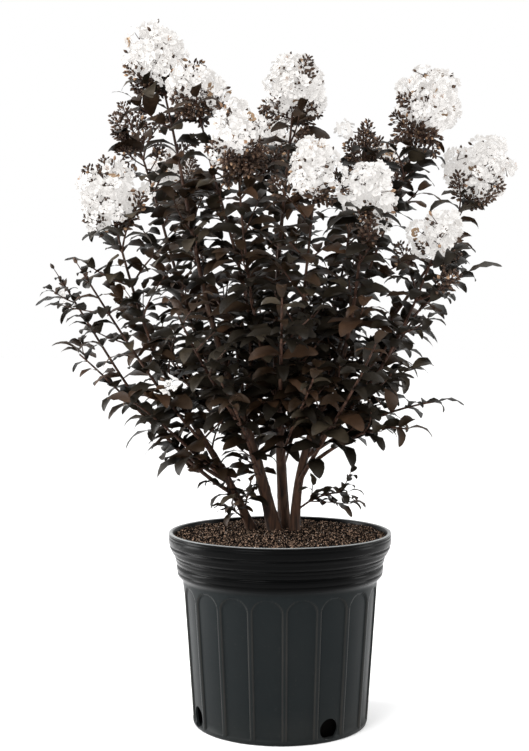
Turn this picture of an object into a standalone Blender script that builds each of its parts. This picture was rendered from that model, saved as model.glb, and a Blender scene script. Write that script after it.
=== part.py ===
"""Potted crape myrtle: a clump of stems with dark leaves and blossom, in a fluted nursery pot.

Lengths are metres and +Z is up. The origin is the centre of the pot's flat underside, and the side that
faces -Y is the front. Every stem, bough and mass of foliage is one closed solid.
"""

import math
import random
from dataclasses import dataclass

import bmesh
import bpy
from mathutils import Matrix, Vector
from mathutils.bvhtree import BVHTree

# Pot
POT_HEIGHT = 0.236
RIM_RADIUS = 0.1385
COLLAR_RADIUS = 0.1300
BODY_TOP_RADIUS = 0.1208
BODY_TOP_HEIGHT = 0.172
BODY_FOOT_RADIUS = 0.1083
WALL = 0.0026
FLOOR_THICKNESS = 0.0030
FLUTES = 18
FLUTE_DEPTH = 0.0022
FLUTE_ARCH_TOP = 0.1710
FIRST_RIB_ANGLE = math.radians(2.0)
RIB_SHARE = 0.11
HOLE_RADIUS = 0.0115
HOLE_HEIGHT = 0.0165
HOLE_FLUTES = (1, 5, 10, 14)

# Soil
SOIL_TOP = 0.2370
SOIL_EDGE_TOP = 0.2290
SOIL_CROWN_RADIUS = 0.066
SOIL_SIDES = 24

# Limbs
JOINT_GAP = 0.0003
STEM_SIDES = 8
BOUGH_SIDES = 5
FORK_ANGLE = math.radians(38)
ROOT_CENTRE = Vector((0.0, 0.022, 0.0))

# Foliage
TWIG_SIDES = 3
RING_SPACING = 0.058
AXIS_TIP_RADIUS = 0.0011
NODE_SPACING = 0.042
SIDE_SHOOT_LENGTH = 0.078
SIDE_SHOOT_RADIUS = 0.0014
SIDE_SHOOT_LEAN = math.radians(50)
LEAF_LENGTH = 0.056
LEAF_WIDTH = 0.027
LEAF_THICKNESS = 0.0009
LEAF_LEAN = math.radians(62)
LEAF_DROOP = 0.30
TIP_LEAF_LOSS = 0.30
LEAF_TILT = 0.75
LEAF_NUDGES = (0.0, 0.6, -0.6)
PAIR_OFFSET = 0.0030
ROOT_SHARE = 0.12
BARE_FOOT = 0.045
CLEARANCE = 0.0006
BLOOM_ASPECT = 1.12
KEPT_SHARE = 0.75
BUD_RADIUS = 0.011

ROUND_EDGE = math.radians(40)
BARK = (0.075, 0.045, 0.032)
LEAF_COLOUR = (0.022, 0.016, 0.013)
POT_COLOUR = (0.020, 0.023, 0.024)
SOIL_COLOUR = (0.060, 0.038, 0.026)
BLOSSOM_COLOUR = (0.820, 0.790, 0.770)
BUD_COLOUR = (0.090, 0.040, 0.022)

BLOOM, BUDS, LEAVES = "bloom", "buds", "leaves"


@dataclass(frozen=True)
class Stem:
    """One stem of the clump, from its flat foot on the soil to its top."""

    name: str
    foot: tuple
    top: tuple
    foot_radius: float
    top_radius: float
    bow: float = 0.0


@dataclass(frozen=True)
class Leader:
    """One leading shoot: a bough that leaves a stem, and the mass of foliage that ends at the tip.

    leaves_at is the share of the stem's length, 1 for the shoot that runs on from its top. rise is the
    angle above level of the shoot's last stretch, in degrees. bare is the share of the shoot that is bough.
    """

    name: str
    stem: str
    leaves_at: float
    tip: tuple
    rise: float
    ending: str
    bare: float
    bloom: float = 0.0


STEMS = (
    Stem("stem_left", (-0.037, 0.014), (-0.108, -0.004, 0.370), 0.0062, 0.0030, 0.004),
    Stem("stem_main", (-0.012, 0.004), (-0.060, -0.028, 0.420), 0.0105, 0.0046, 0.005),
    Stem("stem_centre", (0.005, 0.027), (-0.004, 0.000, 0.440), 0.0078, 0.0042, 0.0),
    Stem("stem_right", (0.022, 0.003), (0.060, -0.026, 0.400), 0.0084, 0.0043, 0.005),
    Stem("stem_back_left", (-0.025, 0.040), (-0.070, 0.086, 0.400), 0.0074, 0.0042, 0.005),
    Stem("stem_back_right", (0.029, 0.036), (0.072, 0.078, 0.400), 0.0076, 0.0042, 0.005),
    Stem("stem_back", (0.003, 0.055), (0.004, 0.112, 0.415), 0.0068, 0.0040, 0.004),
)

LEADERS = (
    Leader("top_left", "stem_main", 1.0, (-0.1516, -0.020, 0.828), 74, BLOOM, 0.32, 0.034),
    Leader("upper_left", "stem_main", 0.80, (-0.0967, -0.080, 0.781), 82, BLOOM, 0.30, 0.026),
    Leader("left_buds", "stem_back_left", 1.0, (-0.200, 0.060, 0.770), 66, BUDS, 0.32),
    Leader("left_bloom", "stem_left", 1.0, (-0.2055, -0.050, 0.659), 74, BLOOM, 0.28, 0.038),
    Leader("centre_left", "stem_centre", 0.76, (-0.0488, -0.118, 0.715), 82, BLOOM, 0.32, 0.030),
    Leader("centre_top", "stem_centre", 1.0, (0.019, 0.020, 0.794), 84, BLOOM, 0.30, 0.037),
    Leader("centre_front", "stem_right", 0.72, (0.0379, -0.130, 0.672), 76, BLOOM, 0.32, 0.029),
    Leader("centre_right", "stem_right", 1.0, (0.1005, -0.120, 0.653), 70, BLOOM, 0.28, 0.032),
    Leader("right_buds", "stem_back_right", 0.80, (0.113, 0.050, 0.745), 82, BUDS, 0.34),
    Leader("top_right", "stem_right", 0.86, (0.1811, -0.020, 0.766), 76, BLOOM, 0.34, 0.038),
    Leader("far_right", "stem_back_right", 1.0, (0.2606, 0.030, 0.694), 68, BLOOM, 0.32, 0.037),
    Leader("low_bloom", "stem_right", 0.62, (0.1885, -0.090, 0.599), 70, BLOOM, 0.32, 0.024),
    Leader("far_left", "stem_left", 0.16, (-0.278, 0.000, 0.550), 57, BUDS, 0.0),
    Leader("mid_left", "stem_left", 0.72, (-0.232, -0.095, 0.552), 55, BUDS, 0.0),
    Leader("mid_right", "stem_back_right", 0.66, (0.215, 0.100, 0.560), 55, LEAVES, 0.30),
    Leader("low_right", "stem_right", 0.52, (0.168, -0.020, 0.405), 8, LEAVES, 0.0),
    Leader("droop_right", "stem_right", 0.42, (0.128, -0.105, 0.368), -15, LEAVES, 0.0),
    Leader("foot_right", "stem_right", 0.12, (0.082, -0.002, 0.288), 5, LEAVES, 0.0),
    Leader("back_left", "stem_back_left", 0.78, (-0.145, 0.182, 0.705), 74, BLOOM, 0.32, 0.035),
    Leader("back_centre", "stem_back", 1.0, (-0.010, 0.198, 0.752), 80, BLOOM, 0.30, 0.037),
    Leader("back_right", "stem_back", 0.78, (0.146, 0.188, 0.714), 74, BLOOM, 0.32, 0.035),
    Leader("back_low_left", "stem_back_left", 0.60, (-0.200, 0.140, 0.530), 50, BUDS, 0.0),
    Leader("back_low_right", "stem_back_right", 0.48, (0.175, 0.180, 0.500), 45, LEAVES, 0.0),
    Leader("back_low", "stem_back", 0.60, (-0.030, 0.240, 0.545), 50, LEAVES, 0.0),
    Leader("front_low_left", "stem_main", 0.60, (-0.115, -0.170, 0.500), 48, LEAVES, 0.0),
    Leader("front_low", "stem_centre", 0.60, (0.000, -0.190, 0.520), 50, LEAVES, 0.0),
    Leader("front_low_right", "stem_right", 0.34, (0.105, -0.175, 0.470), 48, LEAVES, 0.0),
    Leader("side_low_left", "stem_left", 0.46, (-0.175, -0.080, 0.400), 30, LEAVES, 0.0),
    Leader("skirt_left", "stem_main", 0.34, (-0.068, -0.150, 0.425), 30, LEAVES, 0.0),
    Leader("skirt_front", "stem_centre", 0.40, (0.036, -0.150, 0.430), 35, LEAVES, 0.0),
    Leader("skirt_back", "stem_back", 0.36, (0.050, 0.215, 0.440), 35, LEAVES, 0.0),
)


def clear_scene():
    """Removes every object of the startup scene."""
    for obj in list(bpy.data.objects):
        bpy.data.objects.remove(obj)


def material(name, colour, roughness):
    """A Principled material of one colour."""
    made = bpy.data.materials.new(name)
    made.use_nodes = True
    shader = made.node_tree.nodes["Principled BSDF"]
    shader.inputs["Base Color"].default_value = (*colour, 1.0)
    shader.inputs["Roughness"].default_value = roughness
    shader.inputs["Metallic"].default_value = 0.0
    return made


def shade_round(obj):
    """Shades a round piece smooth, with its sharp edges kept."""
    obj.data.shade_smooth()
    obj.data.set_sharp_from_angle(angle=ROUND_EDGE)


def add_object(name, points, faces, finish):
    """A mesh object from points and faces, with normals that face outwards."""
    mesh = bpy.data.meshes.new(name)
    mesh.from_pydata([tuple(p) for p in points], [], faces)
    work = bmesh.new()
    work.from_mesh(mesh)
    bmesh.ops.recalc_face_normals(work, faces=work.faces)
    work.to_mesh(mesh)
    work.free()
    mesh.materials.append(finish)
    obj = bpy.data.objects.new(name, mesh)
    bpy.context.scene.collection.objects.link(obj)
    return obj


def apply_boolean(obj, operation, solver, other=None, collection=None):
    """Joins or cuts obj with one object or a collection, and leaves it a plain mesh."""
    boolean = obj.modifiers.new("join", "BOOLEAN")
    boolean.operation = operation
    boolean.solver = solver
    boolean.material_mode = "TRANSFER"
    if collection is None:
        boolean.object = other
    else:
        boolean.operand_type = "COLLECTION"
        boolean.collection = collection
    graph = bpy.context.evaluated_depsgraph_get()
    joined = bpy.data.meshes.new_from_object(obj.evaluated_get(graph))
    obj.modifiers.clear()
    obj.data = joined


def revolve(rows, columns):
    """Faces of a closed skin whose points are stored row by row, each row a ring of columns."""
    faces = []
    for row in range(rows - 1):
        for column in range(columns):
            after = (column + 1) % columns
            low, high = row * columns, (row + 1) * columns
            faces.append((low + column, low + after, high + after, high + column))
    return faces


# Pot and soil


def body_radius(height):
    """Radius of the pot's tapering body at a height, on the ribs between its flutes."""
    share = height / BODY_TOP_HEIGHT
    return BODY_FOOT_RADIUS + (BODY_TOP_RADIUS - BODY_FOOT_RADIUS) * share


def flute_offsets():
    """Angles of one flute's four columns: its rib, its two edges and its middle."""
    pitch = 2 * math.pi / FLUTES
    return (0.0, RIB_SHARE * pitch, 0.5 * pitch, (1 - RIB_SHARE) * pitch)


def pot_angles():
    """The angle of every column of the pot's skin, from the front towards +X."""
    pitch = 2 * math.pi / FLUTES
    return [FIRST_RIB_ANGLE + flute * pitch + offset for flute in range(FLUTES) for offset in flute_offsets()]


def on_pot(angle, radius, height):
    """A point at an angle from the front, measured towards +X."""
    return Vector((radius * math.sin(angle), -radius * math.cos(angle), height))


def pot_rings():
    """(height, radius, recess of a flute's edges, recess of its middle), down the outside and up the inside."""
    arch = FLUTE_ARCH_TOP
    spring = arch - 0.016
    outside = [
        (POT_HEIGHT, RIM_RADIUS - 0.0030),
        (POT_HEIGHT - 0.0010, RIM_RADIUS),
        (POT_HEIGHT - 0.0215, RIM_RADIUS - 0.0011),
        (POT_HEIGHT - 0.0280, COLLAR_RADIUS + 0.0005),
        (POT_HEIGHT - 0.0400, COLLAR_RADIUS - 0.0022),
        (POT_HEIGHT - 0.0420, COLLAR_RADIUS),
        (POT_HEIGHT - 0.0535, COLLAR_RADIUS - 0.0010),
        (BODY_TOP_HEIGHT + 0.0030, BODY_TOP_RADIUS + 0.0008),
    ]
    rings = [(height, radius, 0.0, 0.0) for height, radius in outside]
    rings.append((arch, body_radius(arch), 0.0, 0.0))
    rings.append((arch - 0.003, body_radius(arch), 0.0, FLUTE_DEPTH))
    rings.append((spring, body_radius(spring), FLUTE_DEPTH, FLUTE_DEPTH))
    rings.append((0.002, body_radius(0.002), FLUTE_DEPTH, FLUTE_DEPTH))
    rings.append((0.0, body_radius(0.0) - 0.002, FLUTE_DEPTH, FLUTE_DEPTH))
    return rings


def pot_inner_radius(height):
    """Radius of the pot's smooth inside, a wall's thickness inside the flutes."""
    if height <= BODY_TOP_HEIGHT:
        return body_radius(height) - FLUTE_DEPTH - WALL
    share = (height - BODY_TOP_HEIGHT) / (POT_HEIGHT - BODY_TOP_HEIGHT)
    low = body_radius(BODY_TOP_HEIGHT) - FLUTE_DEPTH - WALL
    return low + (RIM_RADIUS - 0.0060 - low) * share


def make_pot(finish):
    """The pot's shell, with its banded rim, arched flutes and four drain holes."""
    angles = pot_angles()
    points = []
    for height, radius, edge_recess, middle_recess in pot_rings():
        for column, angle in enumerate(angles):
            recess = (0.0, edge_recess, middle_recess, edge_recess)[column % 4]
            points.append(on_pot(angle, radius - recess, height))
    inner_heights = (FLOOR_THICKNESS, BODY_TOP_HEIGHT, POT_HEIGHT)
    for height in inner_heights:
        points.extend(on_pot(angle, pot_inner_radius(height), height) for angle in angles)
    outer_rows, inner_rows, columns = len(pot_rings()), len(inner_heights), len(angles)
    faces = revolve(outer_rows, columns)
    first_inner = outer_rows * columns
    for face in revolve(inner_rows, columns):
        faces.append(tuple(first_inner + index for index in face))
    top_inner = first_inner + (inner_rows - 1) * columns
    for column in range(columns):
        after = (column + 1) % columns
        faces.append((column, after, top_inner + after, top_inner + column))
    faces.append(tuple(range((outer_rows - 1) * columns, outer_rows * columns)))
    faces.append(tuple(range(first_inner, first_inner + columns)))
    pot = add_object("pot", points, faces, finish)
    for flute in HOLE_FLUTES:
        cut_drain_hole(pot, FIRST_RIB_ANGLE + (flute + 0.5) * 2 * math.pi / FLUTES)
    shade_round(pot)
    return pot


def cut_drain_hole(pot, angle):
    """Cuts one round hole through the wall at the foot of a flute."""
    outwards = on_pot(angle, 1.0, 0.0)
    start = outwards * 0.080 + Vector((0, 0, HOLE_HEIGHT))
    end = outwards * 0.130 + Vector((0, 0, HOLE_HEIGHT))
    points, faces = tube([start, end], [HOLE_RADIUS] * 2, 14)
    cutter = add_object("drain_cutter", points, faces, pot.data.materials[0])
    apply_boolean(pot, "DIFFERENCE", "EXACT", other=cutter)
    bpy.data.objects.remove(cutter)


def make_soil(finish):
    """The soil that fills the pot: flat where the clump stands, and falling to the wall."""
    rings = [
        (FLOOR_THICKNESS + JOINT_GAP, pot_inner_radius(FLOOR_THICKNESS)),
        (BODY_TOP_HEIGHT, pot_inner_radius(BODY_TOP_HEIGHT)),
        (SOIL_EDGE_TOP, pot_inner_radius(SOIL_EDGE_TOP)),
    ]
    wall_clearance = 0.0008
    points = []
    for height, radius in rings:
        for side in range(SOIL_SIDES):
            points.append(on_pot(2 * math.pi * side / SOIL_SIDES, radius - wall_clearance, height))
    for side in range(SOIL_SIDES):
        points.append(on_pot(2 * math.pi * side / SOIL_SIDES, SOIL_CROWN_RADIUS, SOIL_TOP) + ROOT_CENTRE * 0.5)
    rows = len(rings) + 1
    faces = revolve(rows, SOIL_SIDES)
    faces.append(tuple(range(SOIL_SIDES)))
    faces.append(tuple(range((rows - 1) * SOIL_SIDES, rows * SOIL_SIDES)))
    return add_object("soil", points, faces, finish)


# Shapes of limbs, leaves and blossom


def curve(start, first_handle, last_handle, tip, count=33):
    """Points along a cubic curve from start to tip."""
    points = []
    for index in range(count):
        t = index / (count - 1)
        near_start = start * (1 - t) ** 3 + first_handle * (3 * t * (1 - t) ** 2)
        points.append(near_start + last_handle * (3 * t * t * (1 - t)) + tip * t**3)
    return points


def bowed_path(start, tip, bow, count=33):
    """Points along a curve from start to tip, whose middle sags outwards by bow."""
    chord = tip - start
    outwards = (tip - ROOT_CENTRE) * Vector((1, 1, 0))
    sag = outwards - chord * (outwards.dot(chord) / chord.length_squared)
    shift = sag.normalized() * (bow * 4 / 3)
    return curve(start, start + chord / 3 + shift, tip - chord / 3 + shift, tip, count)


class Path:
    """A limb's line, read by the share of its length."""

    def __init__(self, points, setting_out=None):
        self.points = points
        self.setting_out = setting_out
        self.reached = [0.0]
        for before, after in zip(points, points[1:]):
            self.reached.append(self.reached[-1] + (after - before).length)
        self.length = self.reached[-1]

    def at(self, share):
        """The point at a share of the length."""
        wanted = min(max(share, 0.0), 1.0) * self.length
        for index in range(1, len(self.points)):
            if self.reached[index] >= wanted:
                span = self.reached[index] - self.reached[index - 1]
                part = (wanted - self.reached[index - 1]) / span
                return self.points[index - 1].lerp(self.points[index], part)
        return self.points[-1].copy()

    def direction(self, share):
        """The unit direction at a share of the length."""
        if share == 0.0 and self.setting_out is not None:
            return self.setting_out
        step = 0.01
        return (self.at(min(share + step, 1.0)) - self.at(max(share - step, 0.0))).normalized()

    def between(self, first, last, count):
        """Evenly spaced points of one stretch."""
        return [self.at(first + (last - first) * index / (count - 1)) for index in range(count)]


def tube(centres, radii, sides, start_along=None, end_along=None):
    """Points and faces of a round limb through the centres, with flat ends square to the given directions."""
    points, faces = [], []
    normal = None
    last = len(centres) - 1
    for index, centre in enumerate(centres):
        along = (centres[min(index + 1, last)] - centres[max(index - 1, 0)]).normalized()
        if index == 0 and start_along is not None:
            along = start_along
        if index == last and end_along is not None:
            along = end_along
        if normal is None:
            normal = along.orthogonal().normalized()
        normal = (normal - along * normal.dot(along)).normalized()
        across = along.cross(normal)
        for side in range(sides):
            angle = 2 * math.pi * side / sides
            points.append(centre + (normal * math.cos(angle) + across * math.sin(angle)) * radii[index])
    rings = len(centres)
    faces.extend(revolve(rings, sides))
    faces.append(tuple(reversed(range(sides))))
    faces.append(tuple(range((rings - 1) * sides, rings * sides)))
    return points, faces


LEAF_FACES = (
    (1, 2, 3),
    (3, 2, 4),
    (0, 5, 3),
    (3, 5, 4),
    (4, 5, 2),
    (2, 5, 0),
    (0, 3, 1),
    (1, 2, 0),
)


def leaf(root, direction, normal, length, width, thickness, droop):
    """An eight-faced leaf: thick at its root and midrib, sharp at its margin, and bent down past its middle."""
    side = direction.cross(normal)
    middle = root + direction * (0.44 * length)
    points = [
        root + normal * (thickness / 2),
        root - normal * (thickness / 2),
        middle + side * (width / 2),
        middle - side * (width / 2),
        root + direction * (0.96 * length) - normal * (droop * length),
        middle + normal * thickness,
    ]
    return points, LEAF_FACES


def lump(centre, along, radius, aspect, level, rng):
    """An uneven round body of 20 or 80 faces, longer along its axis than across."""
    work = bmesh.new()
    bmesh.ops.create_icosphere(work, subdivisions=level, radius=1.0)
    turn = along.to_track_quat("Z", "Y").to_matrix()
    stretch = Matrix.Diagonal((radius, radius, radius * aspect))
    points = [centre + turn @ (stretch @ (v.co * rng.uniform(0.86, 1.10))) for v in work.verts]
    faces = [tuple(v.index for v in f.verts) for f in work.faces]
    work.free()
    return points, faces


# Room between the pieces


class Obstacles:
    """The solids that are already placed, and whether a new one would touch them."""

    def __init__(self):
        self.pieces = []

    def add(self, owner, points, faces):
        """Keeps one more solid to stay clear of."""
        centre, reach = round_bounds(points)
        self.pieces.append((owner, centre, reach, BVHTree.FromPolygons(points, faces)))

    def touched_by(self, owner, points, faces, own_only=False):
        """True if the solid's skin crosses one of another owner, or with own_only one of the same owner."""
        centre, reach = round_bounds(points)
        tree = None
        for other_owner, other_centre, other_reach, other in self.pieces:
            if (other_owner == owner) != own_only or (centre - other_centre).length > reach + other_reach:
                continue
            tree = tree or BVHTree.FromPolygons(points, faces)
            if tree.overlap(other):
                return True
        return False


def round_bounds(points):
    """Centre and radius of a ball that holds the points."""
    centre = sum(points, Vector()) / len(points)
    return centre, max((p - centre).length for p in points)


# Limbs


def stem_path(stem):
    """The line of a stem, from its foot on the soil to its top."""
    foot = Vector((*stem.foot, SOIL_TOP + JOINT_GAP))
    return Path(bowed_path(foot, Vector(stem.top), stem.bow))


def stem_radius(stem, share):
    """A stem's radius at a share of its length, with a flare at its foot."""
    flare = 0.28 * math.exp(-share / 0.07)
    taper = stem.foot_radius + (stem.top_radius - stem.foot_radius) * share
    return taper * (1 + flare)


def stem_solid(stem, path, extra=0.0):
    """Points and faces of a stem, its foot cut level. extra widens it for a cutter."""
    shares = (0.0, 0.05, 0.14, 0.40, 0.72, 1.0)
    centres = [path.at(share) for share in shares]
    radii = [stem_radius(stem, share) + extra for share in shares]
    points, faces = tube(centres, radii, STEM_SIDES, end_along=path.direction(1.0))
    for index in range(STEM_SIDES):
        points[index].z = centres[0].z
    return points, faces


def leader_path(leader, stem_paths):
    """The line of a leading shoot, from inside its stem, or from its stem's top, to its tip."""
    path = stem_paths[leader.stem]
    tip = Vector(leader.tip)
    start = path.at(leader.leaves_at)
    along = path.direction(leader.leaves_at)
    chord = tip - start
    if leader.leaves_at == 1.0:
        start = start + along * JOINT_GAP
        setting_out = along
    else:
        away = (chord - along * chord.dot(along)).normalized()
        setting_out = along * math.cos(FORK_ANGLE) + away * math.sin(FORK_ANGLE)
    outwards = (chord * Vector((1, 1, 0))).normalized()
    rise = math.radians(leader.rise)
    ending = outwards * math.cos(rise) + Vector((0, 0, math.sin(rise)))
    handle = chord.length / 3
    return Path(curve(start, start + setting_out * handle, tip - ending * handle, tip), setting_out)


def leader_radius(leader, stems, share):
    """A leading shoot's radius at a share of its length."""
    stem = stems[leader.stem]
    foot = stem_radius(stem, leader.leaves_at) * (0.92 if leader.leaves_at == 1.0 else 0.62)
    return foot + (AXIS_TIP_RADIUS - foot) * share**0.8


def make_limb(name, path, leader, stems, first, last, sides, finish, cutter):
    """One stretch of a leading shoot as its own object, cut clear of the stem that it leaves, and its line."""
    count = max(3, round(path.length * (last - first) / RING_SPACING) + 1)
    centres = path.between(first, last, count)
    radii = [leader_radius(leader, stems, first + (last - first) * i / (count - 1)) for i in range(count)]
    points, faces = tube(centres, radii, sides, path.direction(first), path.direction(last))
    limb = add_object(name, points, faces, finish)
    if first == 0.0 and leader.leaves_at < 1.0:
        apply_boolean(limb, "DIFFERENCE", "EXACT", other=cutter)
        keep_largest_body(limb)
    shade_round(limb)
    return limb, Path(centres)


def mesh_parts(obj):
    """Points and faces of an object's mesh."""
    return [v.co.copy() for v in obj.data.vertices], [tuple(p.vertices) for p in obj.data.polygons]


def keep_largest_body(obj):
    """Drops loose scraps and the skins of sealed hollows, so that one closed body is left."""
    work = bmesh.new()
    work.from_mesh(obj.data)
    bmesh.ops.remove_doubles(work, verts=work.verts, dist=2e-6)
    left, bodies = set(work.faces), []
    while left:
        body, front = [], [left.pop()]
        while front:
            face = front.pop()
            body.append(face)
            for edge in face.edges:
                for other in edge.link_faces:
                    if other in left:
                        left.discard(other)
                        front.append(other)
        bodies.append(body)
    bodies.sort(key=len)
    for body in bodies[:-1]:
        bmesh.ops.delete(work, geom=body, context="FACES")
    work.to_mesh(obj.data)
    work.free()


def is_closed(obj):
    """True if every edge of the object's mesh joins exactly two faces."""
    work = bmesh.new()
    work.from_mesh(obj.data)
    closed = len(work.faces) > 0 and all(len(edge.link_faces) == 2 for edge in work.edges)
    work.free()
    return closed


# Masses of foliage


class Mass:
    """The foliage of one leading shoot: its stem, side shoots, leaves and blossom, kept to its own space."""

    def __init__(self, leader, path, axis, line, obstacles, all_paths):
        self.leader = leader
        self.path = path
        self.axis = axis
        self.line = line
        self.obstacles = obstacles
        self.obstacles.add(leader.name, *mesh_parts(axis))
        self.paths = all_paths
        self.rng = random.Random(leader.name)
        self.pieces = []

    def blocked(self, probe):
        """True if a probe touches anything, of this mass or of another."""
        name = self.leader.name
        return self.obstacles.touched_by(name, *probe) or self.obstacles.touched_by(name, *probe, own_only=True)

    def keeps_own_space(self, point):
        """True if the point lies nearer to this shoot's line than to any other shoot's."""
        own = nearest_distance(self.path, point)
        return all(own < nearest_distance(path, point) for path in self.paths if path is not self.path)

    def add_piece(self, solid, finish="foliage"):
        """Keeps one more solid to fuse to the mass."""
        self.pieces.append((*solid, finish))
        self.obstacles.add(self.leader.name, *solid)

    def try_leaf(self, root, direction, normal, scale):
        """Adds a leaf if it keeps to the mass's space and is clear of everything but its own shoot."""
        length, width = LEAF_LENGTH * scale, LEAF_WIDTH * scale
        normal = (normal - direction * normal.dot(direction)).normalized()
        made = leaf(root, direction, normal, length, width, LEAF_THICKNESS, LEAF_DROOP)
        if not self.keeps_own_space(made[0][4]):
            return False
        past_root = root + direction * (ROOT_SHARE * length)
        wide = (length * (1 - ROOT_SHARE), width + 2 * CLEARANCE, LEAF_THICKNESS + 2 * CLEARANCE)
        probe = leaf(past_root, direction, normal, *wide, LEAF_DROOP)
        if self.blocked(probe) or self.obstacles.touched_by(self.leader.name, *made):
            return False
        self.add_piece(made)
        return True

    def leaf_pair(self, path, share, turn, scale):
        """Two leaves on opposite sides of a shoot, one a little above the other, turned until they find room."""
        along = path.direction(share)
        sideways = level_side(along)
        across = along.cross(sideways)
        for sign in (1, -1):
            root = path.at(share + sign * PAIR_OFFSET / 2 / path.length)
            size = scale * self.rng.uniform(0.88, 1.10)
            for nudge in LEAF_NUDGES:
                out = (sideways * math.cos(turn + nudge) + across * math.sin(turn + nudge)) * sign
                lean = LEAF_LEAN + self.rng.uniform(-0.2, 0.2)
                direction = along * math.cos(lean) + out * math.sin(lean)
                direction = (direction * Vector((1, 1, 0.55)) + Vector((0, 0, 0.10))).normalized()
                if self.try_leaf(root, direction, self.leaf_normal(root), size):
                    break

    def leaf_normal(self, root):
        """The way a leaf's upper face looks: up and away from the middle of the clump."""
        away = ((root - ROOT_CENTRE) * Vector((1, 1, 0))).normalized()
        jitter = Vector([self.rng.uniform(-0.35, 0.35) for _ in range(3)])
        return (Vector((0, 0, 1)) + away * LEAF_TILT + jitter).normalized()

    def side_shoot(self, share, turn, length, ending):
        """One side shoot with its leaves, or with buds at its tip."""
        along = self.line.direction(share)
        sideways = level_side(along)
        across = along.cross(sideways)
        out = sideways * math.cos(turn) + across * math.sin(turn)
        start = self.line.at(share)
        lean = SIDE_SHOOT_LEAN + self.rng.uniform(-0.15, 0.15)
        direction = (along * math.cos(lean) + out * math.sin(lean)).normalized()
        tip = start + direction * length + Vector((0, 0, 0.14 * length))
        if not self.keeps_own_space(tip):
            return
        shoot = Path(Path(bowed_path(start, tip, 0.05 * length, 9)).between(0.0, 1.0, 3))
        radii = [SIDE_SHOOT_RADIUS, SIDE_SHOOT_RADIUS * 0.85, SIDE_SHOOT_RADIUS * 0.7]
        made = tube(shoot.between(0.0, 1.0, 3), radii, TWIG_SIDES)
        clear_share = 0.16
        probe_radii = [radius + CLEARANCE for radius in radii]
        probe = tube(shoot.between(clear_share, 1.0, 3), probe_radii, TWIG_SIDES)
        if self.blocked(probe) or self.obstacles.touched_by(self.leader.name, *made):
            return
        self.add_piece(made)
        if ending == BUDS:
            self.try_lump(shoot, BUD_RADIUS, 1.3, 1)
        else:
            self.tip_leaf(shoot, 0.88)
        pairs = max(1, round(length / NODE_SPACING))
        for index in range(pairs):
            self.leaf_pair(shoot, 0.94 * (index + 0.55) / pairs, math.radians(45 * (index % 2)), 0.92)

    def tip_leaf(self, path, scale):
        """The leaf that ends a shoot."""
        along = path.direction(1.0)
        root = path.at(1.0) - along * 0.004
        self.try_leaf(root, (along * Vector((1, 1, 0.6))).normalized(), self.leaf_normal(root), scale)

    def try_lump(self, path, radius, aspect, level):
        """Adds a cluster of blossom or buds round the end of a shoot."""
        along = path.direction(1.0)
        centre = path.at(1.0) + along * (radius * aspect * 0.55)
        if level > 1:
            centre = path.at(1.0)
        made = lump(centre, along, radius, aspect, level, self.rng)
        if self.obstacles.touched_by(self.leader.name, *made):
            return False
        self.add_piece(made, "blossom" if level > 1 else "buds")
        return True

    def grow(self):
        """Fills the mass, from its blossom down to its lowest leaves."""
        first = BARE_FOOT / self.line.length if self.leader.bare == 0.0 else 0.02
        last = 1.0
        if self.leader.ending == BLOOM:
            self.try_lump(self.line, self.leader.bloom, BLOOM_ASPECT, 2)
            last -= 1.05 * self.leader.bloom * BLOOM_ASPECT / self.line.length
        elif self.leader.ending == BUDS:
            self.try_lump(self.line, BUD_RADIUS, 1.4, 1)
            last -= 0.03 / self.line.length
        else:
            self.tip_leaf(self.line, 0.88)
        nodes = max(2, round((last - first) * self.line.length / NODE_SPACING))
        for index in range(nodes):
            share = first + (last - first) * (index + 0.35) / nodes
            turn = math.radians(20 + 90 * (index % 2) + self.rng.uniform(-25, 25))
            if index % 2 == 0:
                height = index / nodes
                length = SIDE_SHOOT_LENGTH * (1.0 - 0.45 * height) * self.rng.uniform(0.85, 1.1)
                ending = BUDS if height > 0.7 and self.leader.ending != LEAVES else LEAVES
                for half_turn in (0, math.pi):
                    self.side_shoot(share, turn + half_turn, length, ending)
            size = 1.0 - TIP_LEAF_LOSS * index / nodes
            self.leaf_pair(self.line, share + 0.4 * (last - first) / nodes, turn + math.pi / 2, size)

    def fuse(self):
        """Joins every piece to the mass's stem in one union, with fewer pieces if neither solver closes it."""
        bare = self.axis.data.copy()
        kept = list(self.pieces)
        while kept:
            for solver in ("EXACT", "MANIFOLD"):
                self.axis.data = bare.copy()
                self.join(kept, solver)
                whole = len(self.axis.data.vertices) > KEPT_SHARE * sum(len(points) for points, _, _ in kept)
                if whole and is_closed(self.axis):
                    return
            kept = kept[: len(kept) * 9 // 10]
        self.axis.data = bare

    def join(self, pieces, solver):
        """One union of the mass's stem with the pieces."""
        group = bpy.data.collections.new(self.axis.name + "_parts")
        bpy.context.scene.collection.children.link(group)
        for points, faces, finish in pieces:
            piece = add_object("piece", points, faces, bpy.data.materials[finish])
            bpy.context.scene.collection.objects.unlink(piece)
            group.objects.link(piece)
        apply_boolean(self.axis, "UNION", solver, collection=group)
        for piece in list(group.objects):
            bpy.data.objects.remove(piece)
        bpy.data.collections.remove(group)
        keep_largest_body(self.axis)


def nearest_distance(path, point):
    """The least distance from a point to a shoot's line."""
    return min((point - other).length for other in path.points[::2])


def level_side(along):
    """The level direction square to a shoot."""
    side = along.cross(Vector((0, 0, 1)))
    return side.normalized() if side.length > 1e-3 else Vector((1, 0, 0))


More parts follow.
